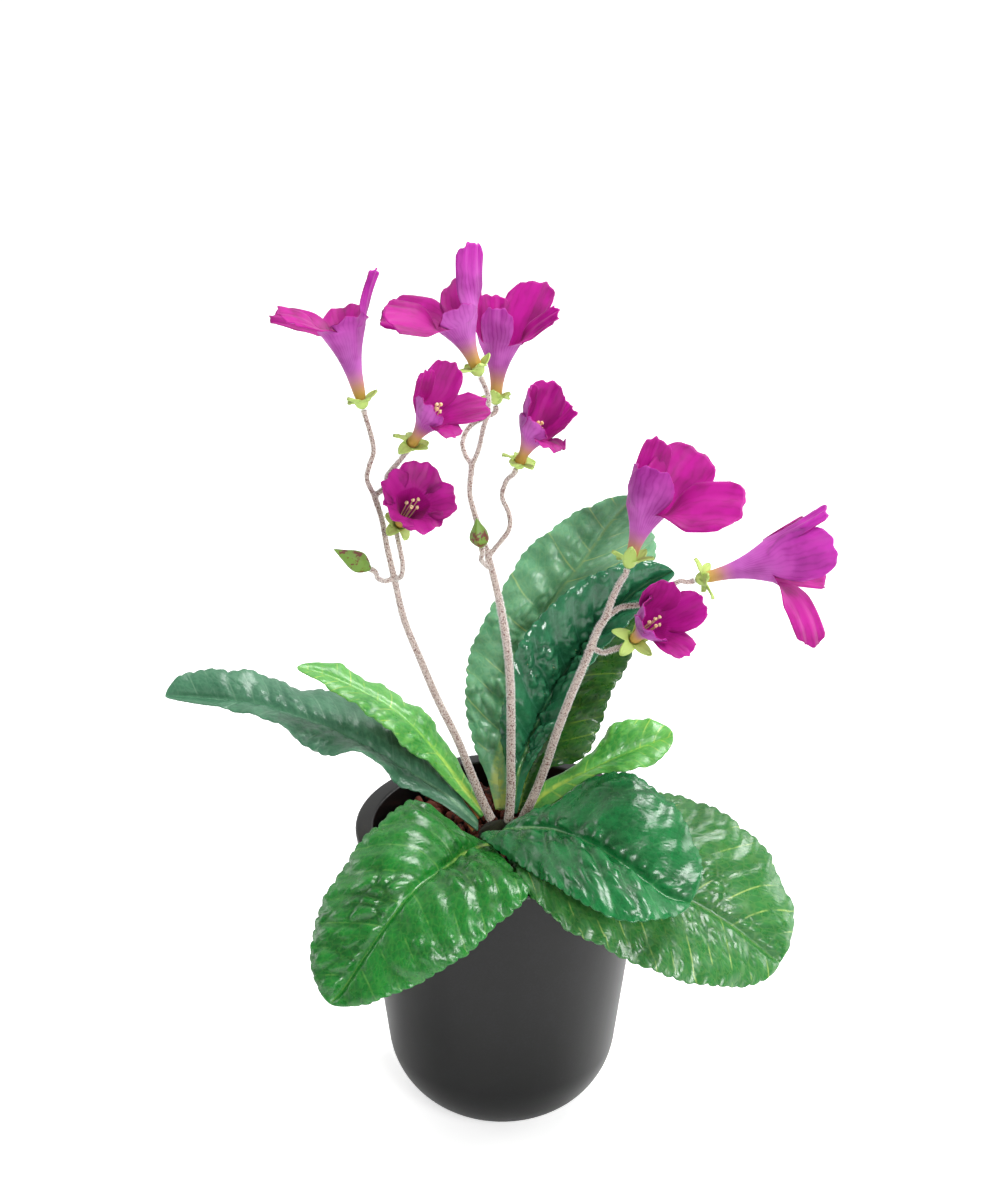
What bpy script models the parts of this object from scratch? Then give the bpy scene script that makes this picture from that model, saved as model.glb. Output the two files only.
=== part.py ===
"""Potted streptocarpus: nine leaves and three branched flower stalks from one crown, in a cover pot.

Blender 4.5:  blender --background --python part.py
Metres, +Z up.  The origin is the centre of the pot's flat foot, on the ground.
Points and sizes are written in millimetres; MM turns them into metres where a mesh is made.
"""
import math
import bmesh
import bpy
import numpy as np
from mathutils import Vector

MM = 0.001
GAP = 0.3               # clearance between pieces that touch
WELD = 0.00001          # metres, merge distance of turned shapes and curve caps

# Pot: a conical wall that turns in one large arc into a small flat foot
POT_HEIGHT = 148.5
RIM_RADIUS = 67.5
LIP_WIDTH = 8.3
LIP_EDGE = 0.9          # rounding of the lip's two edges
WALL = 6.0
WALL_TAPER = math.radians(7)
WALL_FACES = -math.degrees(WALL_TAPER)  # angle of the wall's outward normal in the profile plane
CORNER_RADIUS = 41.0
POT_STEPS = 40

# Filling
MIX_DEPTH = 16.0        # from the rim down to the top of the potting mix
GRANULE_LAYER = 4.0
GRANULE_SIZE = 7.0
CROWN_RADIUS = 11.5
CROWN_TOP = 149.6

# Leaves
LEAF_ROWS = 16
LEAF_COLUMNS = 6        # even, so that one column lies on the midrib
BLADE = 0.8             # thickness at the margin
RIB = 2.6               # thickness on the midrib at the base
LEAF_ARCH = 0.10        # how far each half of a blade bulges, for each mm of its width

# Flowers
PETAL = 0.6
SEPAL = 0.6
LOBES = 5
SECTOR = math.pi / LOBES                # half of the angle that one lobe takes
CALYX_RADII = (0.8, 2.4, 3.0)           # of the calyx's cup, from the pedicel to its rim
CALYX_CUP = 3.6                         # height of the calyx's cup
SEPAL_SHAPE = (2.3, 30, 95, 0)          # half-width, flare at the root and at the tip, twist
TUBE_FOOT = 2.2                         # from the pedicel's end to the foot of the corolla's tube
TUBE_FOOT_RADIUS = 1.3
TUBE_FLARE = (0.29, 0.41, 0.65, 1.0)    # the tube's radius from a quarter of its length on, to its mouth's
STAMEN_RADII = (0.45, 0.5, 0.6, 1.2, 0.9)

# Stalks
STALK_RADIUS = 2.2
STRAND_RADIUS = 1.1

# Each leaf: its midrib from base to tip, and the two margins beside it (left and right as seen
# from the base with the upper face up).  The margins close round the midrib's last point.
LEAVES = {
    "leaf_front_left": dict(
        midrib=[(-6, -11, 143), (-16, -27, 148), (-25, -46, 152), (-38, -63, 151), (-51, -74, 139),
                (-62, -80, 124), (-69, -84, 114), (-75, -87, 107)],
        left=[(-4, -12, 142), (2, -38, 148.5), (11, -69, 152.5), (-1, -78, 143), (-17, -88, 132),
              (-38, -92, 120), (-56, -93, 112)],
        right=[(-8, -10, 144), (-24, -16, 157), (-38, -17, 169.5), (-57, -34, 165), (-72, -46, 149),
               (-82, -60, 134), (-84, -74, 120)]),
    "leaf_front_right_upper": dict(
        midrib=[(-2, -11.5, 148), (2, -17, 154), (19, -34, 165), (34, -50, 169), (48, -62, 167),
                (61, -71, 161), (71, -77, 156), (81, -80, 154)],
        left=[(1, -11.5, 149), (5, -13, 157), (21, -21, 169), (35, -19, 178), (53, -28, 190),
              (75, -43, 182), (86, -57, 166)],
        right=[(-4, -12.5, 148), (-9, -19, 151), (12, -55, 155), (27, -80, 160), (42, -93, 157),
               (58, -98, 156), (72, -91, 154)]),
    "leaf_front_right_lower": dict(
        midrib=[(3, -12, 141), (19, -28, 149), (38, -44, 153), (60, -52, 150), (83, -56, 141),
                (102, -60, 130), (114, -63, 121), (123, -65, 114)],
        left=[(5, -11, 142), (25, -16, 153), (48, -14, 161), (74, -16, 172), (100, -24, 166),
              (119, -32, 151), (130, -42, 129)],
        right=[(1, -13, 140), (10, -62, 150.7), (26, -78, 142), (48, -83, 131), (69, -86, 122),
               (89, -86, 116), (107, -79, 111)]),
    "leaf_left_long": dict(
        midrib=[(-11, -2, 148), (-24, 4, 159), (-39, 12, 166), (-60, 20, 175), (-79, 27, 183),
                (-97, 33, 187), (-115, 38, 190), (-133, 41, 191), (-158, 43, 192)],
        left=[(-11, -5, 147), (-28, 0, 158), (-44, 0, 167), (-61, 3, 181), (-83, 8, 181),
              (-98, 15, 187), (-116, 24, 193), (-135, 32, 192)],
        right=[(-11, 1, 149), (-22, 12, 160), (-34, 30, 172), (-52, 42, 184), (-74, 51, 187),
               (-96, 53, 192), (-111, 56, 195), (-131, 52, 202)]),
    "leaf_left_short": dict(
        midrib=[(-8, 5, 150), (-19, 9, 163), (-28, 13, 175), (-40, 17, 189), (-52, 21, 198),
                (-64, 24, 204), (-78, 26, 210), (-94, 27, 215)],
        left=[(-9, 2, 150.3), (-22, 5, 163), (-33, 5, 176), (-45, 5, 186), (-59, 9, 199),
              (-72, 14, 205), (-81, 18, 211)],
        right=[(-7, 8, 150), (-16, 13, 164), (-23, 20, 174), (-34, 27, 189), (-46, 33, 196),
               (-60, 35, 203), (-73, 35, 211)]),
    "leaf_back_tall": dict(
        midrib=[(0, 9, 150), (-2, 18, 163), (0, 28, 176), (4, 38, 192), (11, 49, 213),
                (23, 57, 233), (38, 63, 252), (49, 66, 268), (61, 67, 283)],
        left=[(-3, 9, 150), (-7, 18, 162), (-14, 28, 177), (-17, 39, 196), (-14, 49, 214),
              (-4, 57, 233), (13, 66, 258), (33, 69, 273)],
        right=[(3, 9, 150), (3, 20, 164), (13, 35, 178), (26, 47, 195), (43, 62, 213),
               (57, 66, 228), (72, 75, 249), (70, 75, 265)]),
    "leaf_back_folded": dict(
        midrib=[(5, 4, 151), (7, 8, 167), (13, 15, 183), (20, 21, 198), (28, 26, 211),
                (38, 30, 224), (49, 33, 238), (63, 35, 251), (78, 36, 259)],
        left=[(3, 4, 151), (2, 9, 172), (-1, 9, 193), (2, 12, 209), (7, 19, 228),
              (18, 23, 243), (35, 28, 257), (54, 33, 264)],
        right=[(7, 3, 151), (11, 6, 168), (18, 4, 185), (28, 9, 201), (37, 12, 218),
               (47, 16, 231), (59, 22, 242), (69, 27, 252)]),
    "leaf_back_right": dict(
        midrib=[(7, 7, 150), (13, 18, 169), (18, 26, 180), (24, 33, 192), (33, 39, 205),
                (45, 44, 218), (56, 47, 227), (67, 49, 235)],
        left=[(5, 8, 150), (9, 18, 171), (10, 26, 183), (15, 34, 198), (23, 41, 213),
              (35, 46, 226), (48, 49, 235)],
        right=[(9, 6, 150), (20, 13, 168), (38, 12, 176), (45, 20, 188), (51, 26, 203),
               (58, 31, 215), (64, 40, 226)]),
    "leaf_right_small": dict(
        midrib=[(10, 2, 150.5), (20, 6, 160), (30, 9, 165), (42, 12, 170), (54, 15, 175),
                (67, 17, 180), (74, 18, 182), (79, 18, 184)],
        left=[(9, 4, 150.5), (18, 11, 162), (29, 15, 167), (41, 21, 173), (51, 27, 184),
              (65, 28, 188), (75, 25, 186)],
        right=[(11.5, 0, 150.5), (20, -1, 156), (32, 3, 164), (45, 4, 172), (57, 0, 175),
               (70, 5, 177), (76, 11, 179)]),
}

# Each flower: seat = end of its pedicel; throat = centre of the tube's mouth, where the lobes
# part; up = the side of the first lobe; mouth = radius of the tube's mouth; sepal = length of its
# sepals; lobes = (length, half-width, flare in degrees from the tube's axis at the root, at the
# tip, degrees of twist about its own length), round the axis from the up side.
FLOWERS = {
    "flower_1": dict(seat=(-59, -2, 351), throat=(-67.6, 7, 383.4), up=(1, 0.2, 0), mouth=9.5,
                     sepal=5, lobes=[
        (24, 6.5, 15, 35, -25), (13, 10, 20, 60, 0), (26, 8, 35, 75, -20), (26, 8, 35, 78, -40),
        (7, 9, 25, 50, 0)]),
    "flower_2": dict(seat=(-40, -15, 338), throat=(-30.2, -21, 355), up=(0.5, 0, 1), mouth=6.5,
                     sepal=6.5, lobes=[
        (21, 8, 20, 30, 0), (20, 5, 15, 15, -35), (14, 7.5, 20, 25, 0), (10, 8, 30, 90, 0),
        (20, 8, 35, 70, 0)]),
    "flower_3": dict(seat=(-9, -5, 367), throat=(-18.6, -1, 389), up=(1, 0, 0.4), mouth=8.5,
                     sepal=6, lobes=[
        (31, 7, 8, 28, -45), (22, 10, 25, 60, 0), (32, 11, 45, 75, -20), (27, 10, 35, 65, -50),
        (9, 9, 20, 30, 0)]),
    "flower_4": dict(seat=(-3, 14, 347), throat=(-0.9, 22, 372), up=(-1, 0, 0.3), mouth=8.5,
                     sepal=5, lobes=[
        (27, 5, 18, 5, -30), (16, 7, 15, 5, 0), (25, 5, 35, 60, 60), (31, 12, 20, 26, 15),
        (22, 9, 20, 10, 0)]),
    "flower_5": dict(seat=(6, -7, 326), throat=(13.5, -9, 343), up=(0, 1, 0.2), mouth=6.3,
                     sepal=5.5, lobes=[
        (21, 8.5, 20, 10, 0), (19, 8, 15, 8, 0), (10, 8, 15, 20, 0), (10, 8, 35, 110, 0),
        (17, 9, 18, 22, 0)]),
    "flower_6": dict(seat=(-45, -12, 301), throat=(-37.9, -28, 318.6), up=(0.34, 0, 0.94), mouth=7.5,
                     sepal=6, lobes=[
        (11.5, 10, 45, 65, 0), (10, 7, 40, 55, 0), (8, 6.5, 40, 60, 0), (9, 7.5, 45, 70, 0),
        (11.5, 9.5, 45, 70, 0)]),
    "flower_7": dict(seat=(54, -16, 283), throat=(62, -9, 307.5), up=(0.87, -0.5, 0), mouth=8.5,
                     sepal=8.5, lobes=[
        (37, 14, 50, 80, 52), (33, 14, 15, 26, 35), (31, 8, 10, -6, 0), (18, 9, 10, 0, 0),
        (20, 10, 20, 5, 0)]),
    "flower_8": dict(seat=(84, -8, 274), throat=(116, -4, 281.4), up=(0, 0, 1), mouth=9,
                     sepal=8, lobes=[
        (31, 7, 10, 20, 0), (29, 11.5, 16, 3, 0), (34, 9, 42, 100, 50), (31, 9, 25, 40, 0),
        (24, 10, 15, 15, 0)]),
    "flower_9": dict(seat=(56, -20, 250), throat=(64.3, -33, 264.8), up=(0.2, 0.3, 1), mouth=7.5,
                     sepal=8, lobes=[
        (17, 7.5, 20, 20, 0), (12, 5, 10, 5, 0), (11, 7.5, 15, 15, 0), (16, 8, 35, 65, 0),
        (19, 8.5, 25, 50, 0)]),
}

# Buds: pedicel end, tip, greatest radius
BUDS = {
    "flower_bud_1": dict(seat=(-57, -18, 284), tip=(-72, -22, 295), radius=5.0),
    "flower_bud_2": dict(seat=(-9, -13, 292), tip=(-11, -14, 306), radius=4.6),
}

# Stalks: the main route first, then the strands that branch from it, each to its seat
STALKS = {
    "flower_stalk_left": [
        [(-5, -1, 150), (-9, -1, 160), (-14, -1, 174), (-20, -2, 192), (-29, -4, 214), (-36, -6, 234),
         (-43, -8, 255), (-47, -10, 276), (-50, -9, 291), (-52, -8, 303), (-55, -8, 314)],
        [(-55, -8, 314), (-58, -7, 321), (-57, -6, 327), (-55, -5, 333), (-56, -4, 340), "flower_1"],
        [(-55, -8, 314), (-50, -10, 319), (-49, -12, 325), (-44, -14, 332), "flower_2"],
        [(-47, -10, 276), (-51, -13, 276), (-54, -16, 279), "flower_bud_1"],
        [(-47, -10, 276), (-44, -13, 278), (-43, -14, 284), (-44, -14, 291), "flower_6"]],
    "flower_stalk_middle": [
        [(3, -4, 150), (4, -3, 165), (4, -2, 182), (4, -3, 208), (3, -4, 233), (0, -5, 256),
         (-3, -6, 272), (-6, -7, 285), (-9, -5, 294), (-12, -3, 304), (-14, -2, 313), (-13, 0, 325)],
        [(-13, 0, 325), (-10, -1, 333), (-8, -2, 343), (-6, -3, 350), (-6, -4, 358), "flower_3"],
        [(-13, 0, 325), (-16, 3, 329), (-17, 6, 334), (-13, 10, 340), "flower_4"],
        [(-6, -7, 285), (-2, -6, 290), (3, -5, 297), (3, -4, 304), (0, -4, 312), (2, -5, 320), "flower_5"],
        [(-6, -7, 280), (-9, -11, 285), "flower_bud_2"]],
    "flower_stalk_right": [
        [(9, -3, 150), (15, -1, 164), (20, -1, 179), (25, -4, 198), (31, -7, 218), (37, -10, 236),
         (42, -12, 252), (45, -13, 258), (48, -14, 268), (51, -15, 276), "flower_7"],
        [(45, -13, 258), (52, -12, 263), (61, -11, 264), (69, -10, 269), (77, -9, 274), "flower_8"],
        [(40, -11, 243), (44, -14, 242), (49, -17, 245), "flower_9"]],
}

COLOURS = {  # linear colour, roughness
    "pot": ((0.045, 0.044, 0.042), 0.55),
    "mix": ((0.035, 0.018, 0.010), 0.95),
    "granules": ((0.16, 0.045, 0.018), 0.9),
    "crown": ((0.10, 0.16, 0.05), 0.6),
    "leaf": ((0.03, 0.16, 0.05), 0.38),
    "young_leaf": ((0.09, 0.38, 0.07), 0.42),
    "stalk": ((0.52, 0.36, 0.32), 0.9),
    "calyx": ((0.28, 0.48, 0.10), 0.6),
    "corolla": ((0.46, 0.04, 0.34), 0.5),
    "stamens": ((0.80, 0.58, 0.30), 0.6),
    "bud": ((0.10, 0.26, 0.04), 0.5),
}


def clear_scene():
    for thing in list(bpy.data.objects):
        bpy.data.objects.remove(thing, do_unlink=True)


def finish(name, kind):
    """A material for one sub-part."""
    colour, roughness = COLOURS[kind]
    material = bpy.data.materials.new(f"{name}_finish")
    material.use_nodes = True
    shader = material.node_tree.nodes["Principled BSDF"]
    shader.inputs["Base Color"].default_value = (*colour, 1)
    shader.inputs["Roughness"].default_value = roughness
    shader.inputs["Metallic"].default_value = 0
    return material


def add_object(name, data, collection, kind):
    piece = bpy.data.objects.new(name, data)
    collection.objects.link(piece)
    if kind:
        data.materials.append(finish(name, kind))
    return piece


def smooth_route(points, count):
    """count points, evenly spaced by station, on a Catmull-Rom curve through the given points."""
    p = np.array(points, float)
    p = np.vstack([2 * p[0] - p[1], p, 2 * p[-1] - p[-2]])
    stations = np.linspace(0, len(p) - 3, count)
    out = []
    for s in stations:
        i = min(int(s), len(p) - 4)
        t = s - i
        a, b, c, d = p[i:i + 4]
        out.append(0.5 * (2 * b + (c - a) * t + (2 * a - 5 * b + 4 * c - d) * t ** 2
                          + (3 * b - a - 3 * c + d) * t ** 3))
    return np.array(out)


def unit(v):
    v = np.asarray(v, float)
    return v / np.linalg.norm(v)


def turned(name, profile, collection, kind, steps, groups=None):
    """A body of revolution about Z: (radius, height) points that run down the outer side."""
    mesh = bpy.data.meshes.new(name)
    mesh.from_pydata([(r * MM, 0, z * MM) for r, z in profile],
                     [(i, i + 1) for i in range(len(profile) - 1)], [])
    piece = add_object(name, mesh, collection, kind)
    for label, members in (groups or {}).items():
        piece.vertex_groups.new(name=label).add(members, 1.0, "REPLACE")
    screw = piece.modifiers.new("turn", "SCREW")
    screw.steps = screw.render_steps = steps
    screw.use_merge_vertices = True
    screw.merge_threshold = WELD
    screw.use_smooth_shade = True
    return piece


def arc(centre, radius, start, end, count):
    """Points on an arc in the profile plane, angles in degrees."""
    return [(centre[0] + radius * math.cos(math.radians(a)), centre[1] + radius * math.sin(math.radians(a)))
            for a in np.linspace(start, end, count)]


def corner_centre_radius():
    """How far from the axis the centre of the pot's corner arc lies."""
    drop = POT_HEIGHT - CORNER_RADIUS
    return RIM_RADIUS - (CORNER_RADIUS + drop * math.sin(WALL_TAPER)) / math.cos(WALL_TAPER)


def pot_profiles():
    """The pot's outer side from the wall's top to the foot, and its cavity from the floor up."""
    foot = corner_centre_radius()
    outer = arc((foot, CORNER_RADIUS), CORNER_RADIUS, WALL_FACES, -90, 9)
    cavity = arc((foot, CORNER_RADIUS), CORNER_RADIUS - WALL, -90, WALL_FACES, 8)
    return outer, cavity


def cavity_radius(z):
    """Inner radius of the pot's wall above the corner."""
    inner_foot = corner_centre_radius() + (CORNER_RADIUS - WALL) * math.cos(WALL_TAPER)
    start = CORNER_RADIUS - (CORNER_RADIUS - WALL) * math.sin(WALL_TAPER)
    return inner_foot + (z - start) * math.tan(WALL_TAPER)


def make_pot(collection):
    outer, cavity = pot_profiles()
    inner_lip = RIM_RADIUS - LIP_WIDTH
    lip = (arc((inner_lip + LIP_EDGE, POT_HEIGHT - LIP_EDGE), LIP_EDGE, 180, 90, 4)
           + arc((RIM_RADIUS - LIP_EDGE, POT_HEIGHT - LIP_EDGE), LIP_EDGE, 90, WALL_FACES, 4))
    under_lip = [(cavity_radius(POT_HEIGHT - 12), POT_HEIGHT - 12), (inner_lip, POT_HEIGHT - 7)]
    profile = [(0, WALL)] + cavity + under_lip + lip + outer + [(0, 0)]
    turned("pot", profile, collection, "pot", POT_STEPS)


def make_filling(collection):
    """Potting mix, the clay granules on it and the crown that stands in them."""
    mix_top = POT_HEIGHT - MIX_DEPTH
    _, cavity = pot_profiles()
    inset = [(max(r - GAP * 1.3, 0), z + GAP) for r, z in reversed(cavity)]
    profile = [(0, mix_top), (cavity_radius(mix_top) - GAP * 1.3, mix_top)] + inset + [(0, WALL + GAP)]
    turned("potting_mix", profile, collection, "mix", POT_STEPS)

    hole = CROWN_RADIUS - 3 + GAP
    low, high = mix_top + GAP, mix_top + GRANULE_LAYER
    edge = cavity_radius(low) - 2 * GAP
    rings = np.linspace(hole, edge, 9)
    top = [(r, high) for r in rings]
    profile = top + [(edge, low), (hole, low), (hole, high)]
    granules = turned("clay_granules", profile, collection, "granules", 40, {"top": list(range(1, 8))})
    relief = bpy.data.textures.new("granule_relief", "VORONOI")
    relief.noise_scale = GRANULE_SIZE * MM
    lumps = granules.modifiers.new("lumps", "DISPLACE")
    lumps.texture = relief
    lumps.texture_coords = "LOCAL"
    lumps.direction = "Z"
    lumps.vertex_group = "top"
    lumps.strength = 3 * MM
    lumps.mid_level = 0.3

    stem = CROWN_RADIUS - 3
    profile = ([(0, CROWN_TOP), (CROWN_RADIUS - 2.5, CROWN_TOP)]
               + arc((CROWN_RADIUS - 3, CROWN_TOP - 3), 3, 75, -10, 4)
               + [(CROWN_RADIUS - 0.6, CROWN_TOP - 9), (stem, mix_top + GRANULE_LAYER + 1),
                  (stem, mix_top + GAP), (0, mix_top + GAP)])
    turned("crown", profile, collection, "crown", 24)


def rails(leaf, rows):
    """Matching points on a leaf's left margin, midrib and right margin; its end is rounded."""
    last = len(leaf["left"]) - 1            # the station where the end begins
    middle = smooth_route(leaf["midrib"], rows)
    stations = np.linspace(0, last + 1, rows)
    sides = []
    for side in ("left", "right"):
        margin = smooth_route(leaf[side], 20 * last + 1)
        spread = np.array(leaf[side][last], float) - np.array(leaf["midrib"][last], float)
        before = np.array(leaf[side][last - 1], float) - np.array(leaf["midrib"][last - 1], float)
        narrowing = np.linalg.norm(before) / np.linalg.norm(spread) - 1
        points = []
        for s, place in zip(stations, middle):
            if s <= last:
                points.append(margin[int(round(20 * s))])
            else:
                close = min(s - last, 0.98)
                shrink = math.sqrt(1 - close) * (1 + (0.5 - min(narrowing, 1.4)) * close)
                points.append(place + spread * shrink)
        sides.append(np.array(points))
    return sides[0], middle, sides[1]


def leaf_sheet(leaf, rows, columns):
    """The upper face of a leaf: each half is a low arch between the midrib and a margin."""
    left, middle, right = rails(leaf, rows)
    grid = []
    for a, m, b, along in zip(left, middle, right, np.gradient(middle, axis=0)):
        lift = unit(np.cross(b - a, along))
        row = []
        for u in np.linspace(-1, 1, columns + 1):
            edge = b if u > 0 else a
            rise = LEAF_ARCH * np.linalg.norm(edge - m) * 4 * abs(u) * (1 - abs(u))
            row.append(m + (edge - m) * abs(u) + lift * rise)
        grid.append(row)
    return np.array(grid)


def grid_mesh(name, grid):
    rows, columns = grid.shape[:2]
    faces = [(r * columns + c, r * columns + c + 1, (r + 1) * columns + c + 1, (r + 1) * columns + c)
             for r in range(rows - 1) for c in range(columns - 1)]
    mesh = bpy.data.meshes.new(name)
    mesh.from_pydata([tuple(p * MM) for p in grid.reshape(-1, 3)], [], faces)
    mesh.shade_smooth()
    return mesh


def thicken(piece, thickness, offset=0.0):
    solid = piece.modifiers.new("thickness", "SOLIDIFY")
    solid.thickness = thickness * MM
    solid.offset = offset
    return solid


def make_leaf(name, leaf, collection):
    """A blade with a thicker keel along its midrib, fading towards the tip."""
    grid = leaf_sheet(leaf, LEAF_ROWS, LEAF_COLUMNS)
    kind = "young_leaf" if name in ("leaf_left_short", "leaf_right_small") else "leaf"
    piece = add_object(name, grid_mesh(name, grid), collection, kind)
    keel = piece.vertex_groups.new(name="keel")
    thinnest = BLADE / RIB
    for r in range(LEAF_ROWS):
        along = 1 - r / (LEAF_ROWS - 1)
        for c in range(LEAF_COLUMNS + 1):
            middle = c == LEAF_COLUMNS // 2
            weight = thinnest + (1 - thinnest) * (along if middle else max(0, 1 - 6 * (1 - along)))
            keel.add([r * (LEAF_COLUMNS + 1) + c], weight, "REPLACE")
    solid = thicken(piece, RIB, -1.0)
    solid.vertex_group = "keel"


def make_tube(foot, throat, up, radii, arc_steps):
    """A tube's rings, one for each radius, and its mouth's centre and axes."""
    foot, throat = np.array(foot, float), np.array(throat, float)
    axis = unit(throat - foot)
    side = unit(np.cross(axis, up))
    upward = np.cross(side, axis)
    around = LOBES * arc_steps
    points, faces = [], []
    for radius, v in zip(radii, np.linspace(0, 1, len(radii))):
        for k in range(around):
            angle = SECTOR * (2 * k / arc_steps - 1)
            outward = math.cos(angle) * upward + math.sin(angle) * side
            points.append(foot + (throat - foot) * v + radius * outward)
    for r in range(len(radii) - 1):
        for k in range(around):
            n = (k + 1) % around
            faces.append((r * around + k, r * around + n, (r + 1) * around + n, (r + 1) * around + k))
    return points, faces, (throat, axis, upward, side)


def flared_sheet(foot, throat, up, radii, lobes, arc_steps, lobe_rows, pointed):
    """A tube whose mouth divides into lobes that bend outwards; returns points and faces."""
    points, faces, (centre, axis, upward, side) = make_tube(foot, throat, up, radii, arc_steps)
    around, mouth = LOBES * arc_steps, radii[-1]
    rim = len(points) - around
    for k, (length, half_width, root, end, twist) in enumerate(lobes):
        angle = 2 * SECTOR * k
        outward = math.cos(angle) * upward + math.sin(angle) * side
        tangent = -math.sin(angle) * upward + math.cos(angle) * side
        below = [rim + (k * arc_steps + c) % around for c in range(arc_steps + 1)]
        spot, reach = centre + mouth * outward, mouth
        for t in np.linspace(0, 1, lobe_rows + 1)[1:]:
            flare, turn = math.radians(root + (end - root) * t), math.radians(twist * t)
            heading = math.cos(flare) * axis + math.sin(flare) * outward
            front = math.sin(flare) * axis - math.cos(flare) * outward
            across = math.cos(turn) * tangent + math.sin(turn) * front
            front = math.cos(turn) * front - math.sin(turn) * tangent
            spot = spot + heading * length / lobe_rows
            reach += length / lobe_rows * math.sin(flare)
            blend = min(3 * t, 1)
            inward = unit((front + outward) * blend - outward)
            curve = (1 + (max(math.cos(flare), 0) - 1) * blend) / (2 * max(reach, mouth))
            if pointed:
                width, rounding = half_width * (1 - t) ** 0.8 + 0.25, 0
            else:
                chord = mouth * math.sin(SECTOR)
                width = chord + (half_width - chord) * math.sin(math.pi / 2 * min(t / 0.6, 1))
                rounding = 0.8 * half_width
            row = []
            for c in range(arc_steps + 1):
                s = 2 * c / arc_steps - 1
                row.append(len(points))
                points.append(spot + across * width * math.sin(SECTOR * s) / math.sin(SECTOR)
                              + inward * curve * (width * s) ** 2 - heading * rounding * (s * t) ** 2)
            for c in range(arc_steps):
                faces.append((below[c], below[c + 1], row[c + 1], row[c]))
            below = row
    return points, faces


def sheet_object(name, points, faces, collection, kind, thickness, offset=0.0):
    mesh = bpy.data.meshes.new(name)
    mesh.from_pydata([tuple(np.asarray(p) * MM) for p in points], [], faces)
    mesh.shade_smooth()
    piece = add_object(name, mesh, collection, kind)
    thicken(piece, thickness, offset)
    return piece


def make_flower(name, flower, collection):
    """Calyx on the pedicel's end, corolla in the calyx, stamens in the corolla's tube."""
    seat, throat, mouth = np.array(flower["seat"], float), np.array(flower["throat"], float), flower["mouth"]
    axis = unit(throat - seat)
    sepals = [(flower["sepal"], *SEPAL_SHAPE)] * LOBES
    calyx = flared_sheet(seat + axis * (GAP + SEPAL), seat + axis * CALYX_CUP, flower["up"], CALYX_RADII,
                         sepals, 2, 2, True)
    sheet_object(f"{name}_calyx", *calyx, collection, "calyx", SEPAL)
    radii = (TUBE_FOOT_RADIUS, *(share * mouth for share in TUBE_FLARE))
    corolla = flared_sheet(seat + axis * TUBE_FOOT, throat, flower["up"], radii,
                           flower["lobes"], 3, 4, False)
    sheet_object(f"{name}_corolla", *corolla, collection, "corolla", PETAL)
    route = np.linspace(seat + axis * (TUBE_FOOT + PETAL), throat, len(STAMEN_RADII))
    tube(f"{name}_stamens", route, STAMEN_RADII, collection, "stamens", 1)


def tube(name, route, radii, collection, kind, resolution):
    """A round tube along a route, with a radius for each point."""
    curve = bpy.data.curves.new(name, "CURVE")
    curve.dimensions = "3D"
    curve.bevel_depth = MM
    curve.bevel_resolution = resolution
    curve.use_fill_caps = True
    curve.render_resolution_u = 0
    spline = curve.splines.new("POLY")
    spline.points.add(len(route) - 1)
    for point, place, radius in zip(spline.points, route, radii):
        point.co = (*(place * MM), 1)
        point.radius = radius
    return add_object(name, curve, collection, kind)


def as_mesh(piece):
    """The tube as a mesh with welded caps, in place of its curve."""
    name, collection = piece.name, piece.users_collection[0]
    depsgraph = bpy.context.evaluated_depsgraph_get()
    mesh = bpy.data.meshes.new_from_object(piece.evaluated_get(depsgraph))
    cleaned = bmesh.new()
    cleaned.from_mesh(mesh)
    bmesh.ops.remove_doubles(cleaned, verts=cleaned.verts, dist=WELD)
    bmesh.ops.recalc_face_normals(cleaned, faces=cleaned.faces)
    cleaned.to_mesh(mesh)
    cleaned.free()
    mesh.shade_smooth()
    solid = bpy.data.objects.new(name, mesh)
    solid.matrix_world = piece.matrix_world
    collection.objects.link(solid)
    bpy.data.objects.remove(piece, do_unlink=True)
    solid.name = name
    return solid


def approach(name):
    """A strand's last two points, in line with the flower or bud that it carries."""
    carried = FLOWERS.get(name) or BUDS.get(name)
    seat = np.array(carried["seat"], float)
    axis = unit(np.array(carried.get("throat") or carried["tip"]) - seat)
    return [seat - 3.0 * axis, seat]


def make_stalk(name, routes, collection, guides):
    """The main stalk with its strands joined to it."""
    main = None
    for index, route in enumerate(routes):
        points = [p for stop in route for p in (approach(stop) if isinstance(stop, str) else [stop])]
        count = 2 * len(points) - 1
        path = smooth_route(points, count)
        if index == 0:
            lean = unit(path[1] - path[0])
            path[0][2] = CROWN_TOP + GAP + STALK_RADIUS * math.hypot(lean[0], lean[1])
        thick = STALK_RADIUS if index == 0 else STRAND_RADIUS
        radii = np.linspace(thick, STRAND_RADIUS, count)
        home = collection if index == 0 else guides
        piece = as_mesh(tube(name if index == 0 else f"{name}_strand_{index}", path, radii, home, "stalk", 2))
        if index == 0:
            main = piece
        else:
            piece.hide_render = True
            piece.display_type = "WIRE"
            join = main.modifiers.new(f"strand_{index}", "BOOLEAN")
            join.operation = "UNION"
            join.object = piece


def make_bud(name, bud, collection):
    """A pointed closed bud, turned about its own axis."""
    seat, tip = np.array(bud["seat"], float), np.array(bud["tip"], float)
    axis = unit(tip - seat)
    length = np.linalg.norm(tip - seat)
    shape = [(0.0, 1.0), (0.22, 0.9), (0.55, 0.72), (0.9, 0.5), (1.0, 0.3), (0.75, 0.1), (0.35, 0.0), (0, 0.0)]
    profile = [(r * bud["radius"], z * length) for r, z in shape]
    piece = turned(name, profile, collection, "bud", 10)
    piece.location = Vector((seat + axis * GAP) * MM)
    piece.rotation_euler = Vector(axis).to_track_quat("Z", "Y").to_euler()


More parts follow.
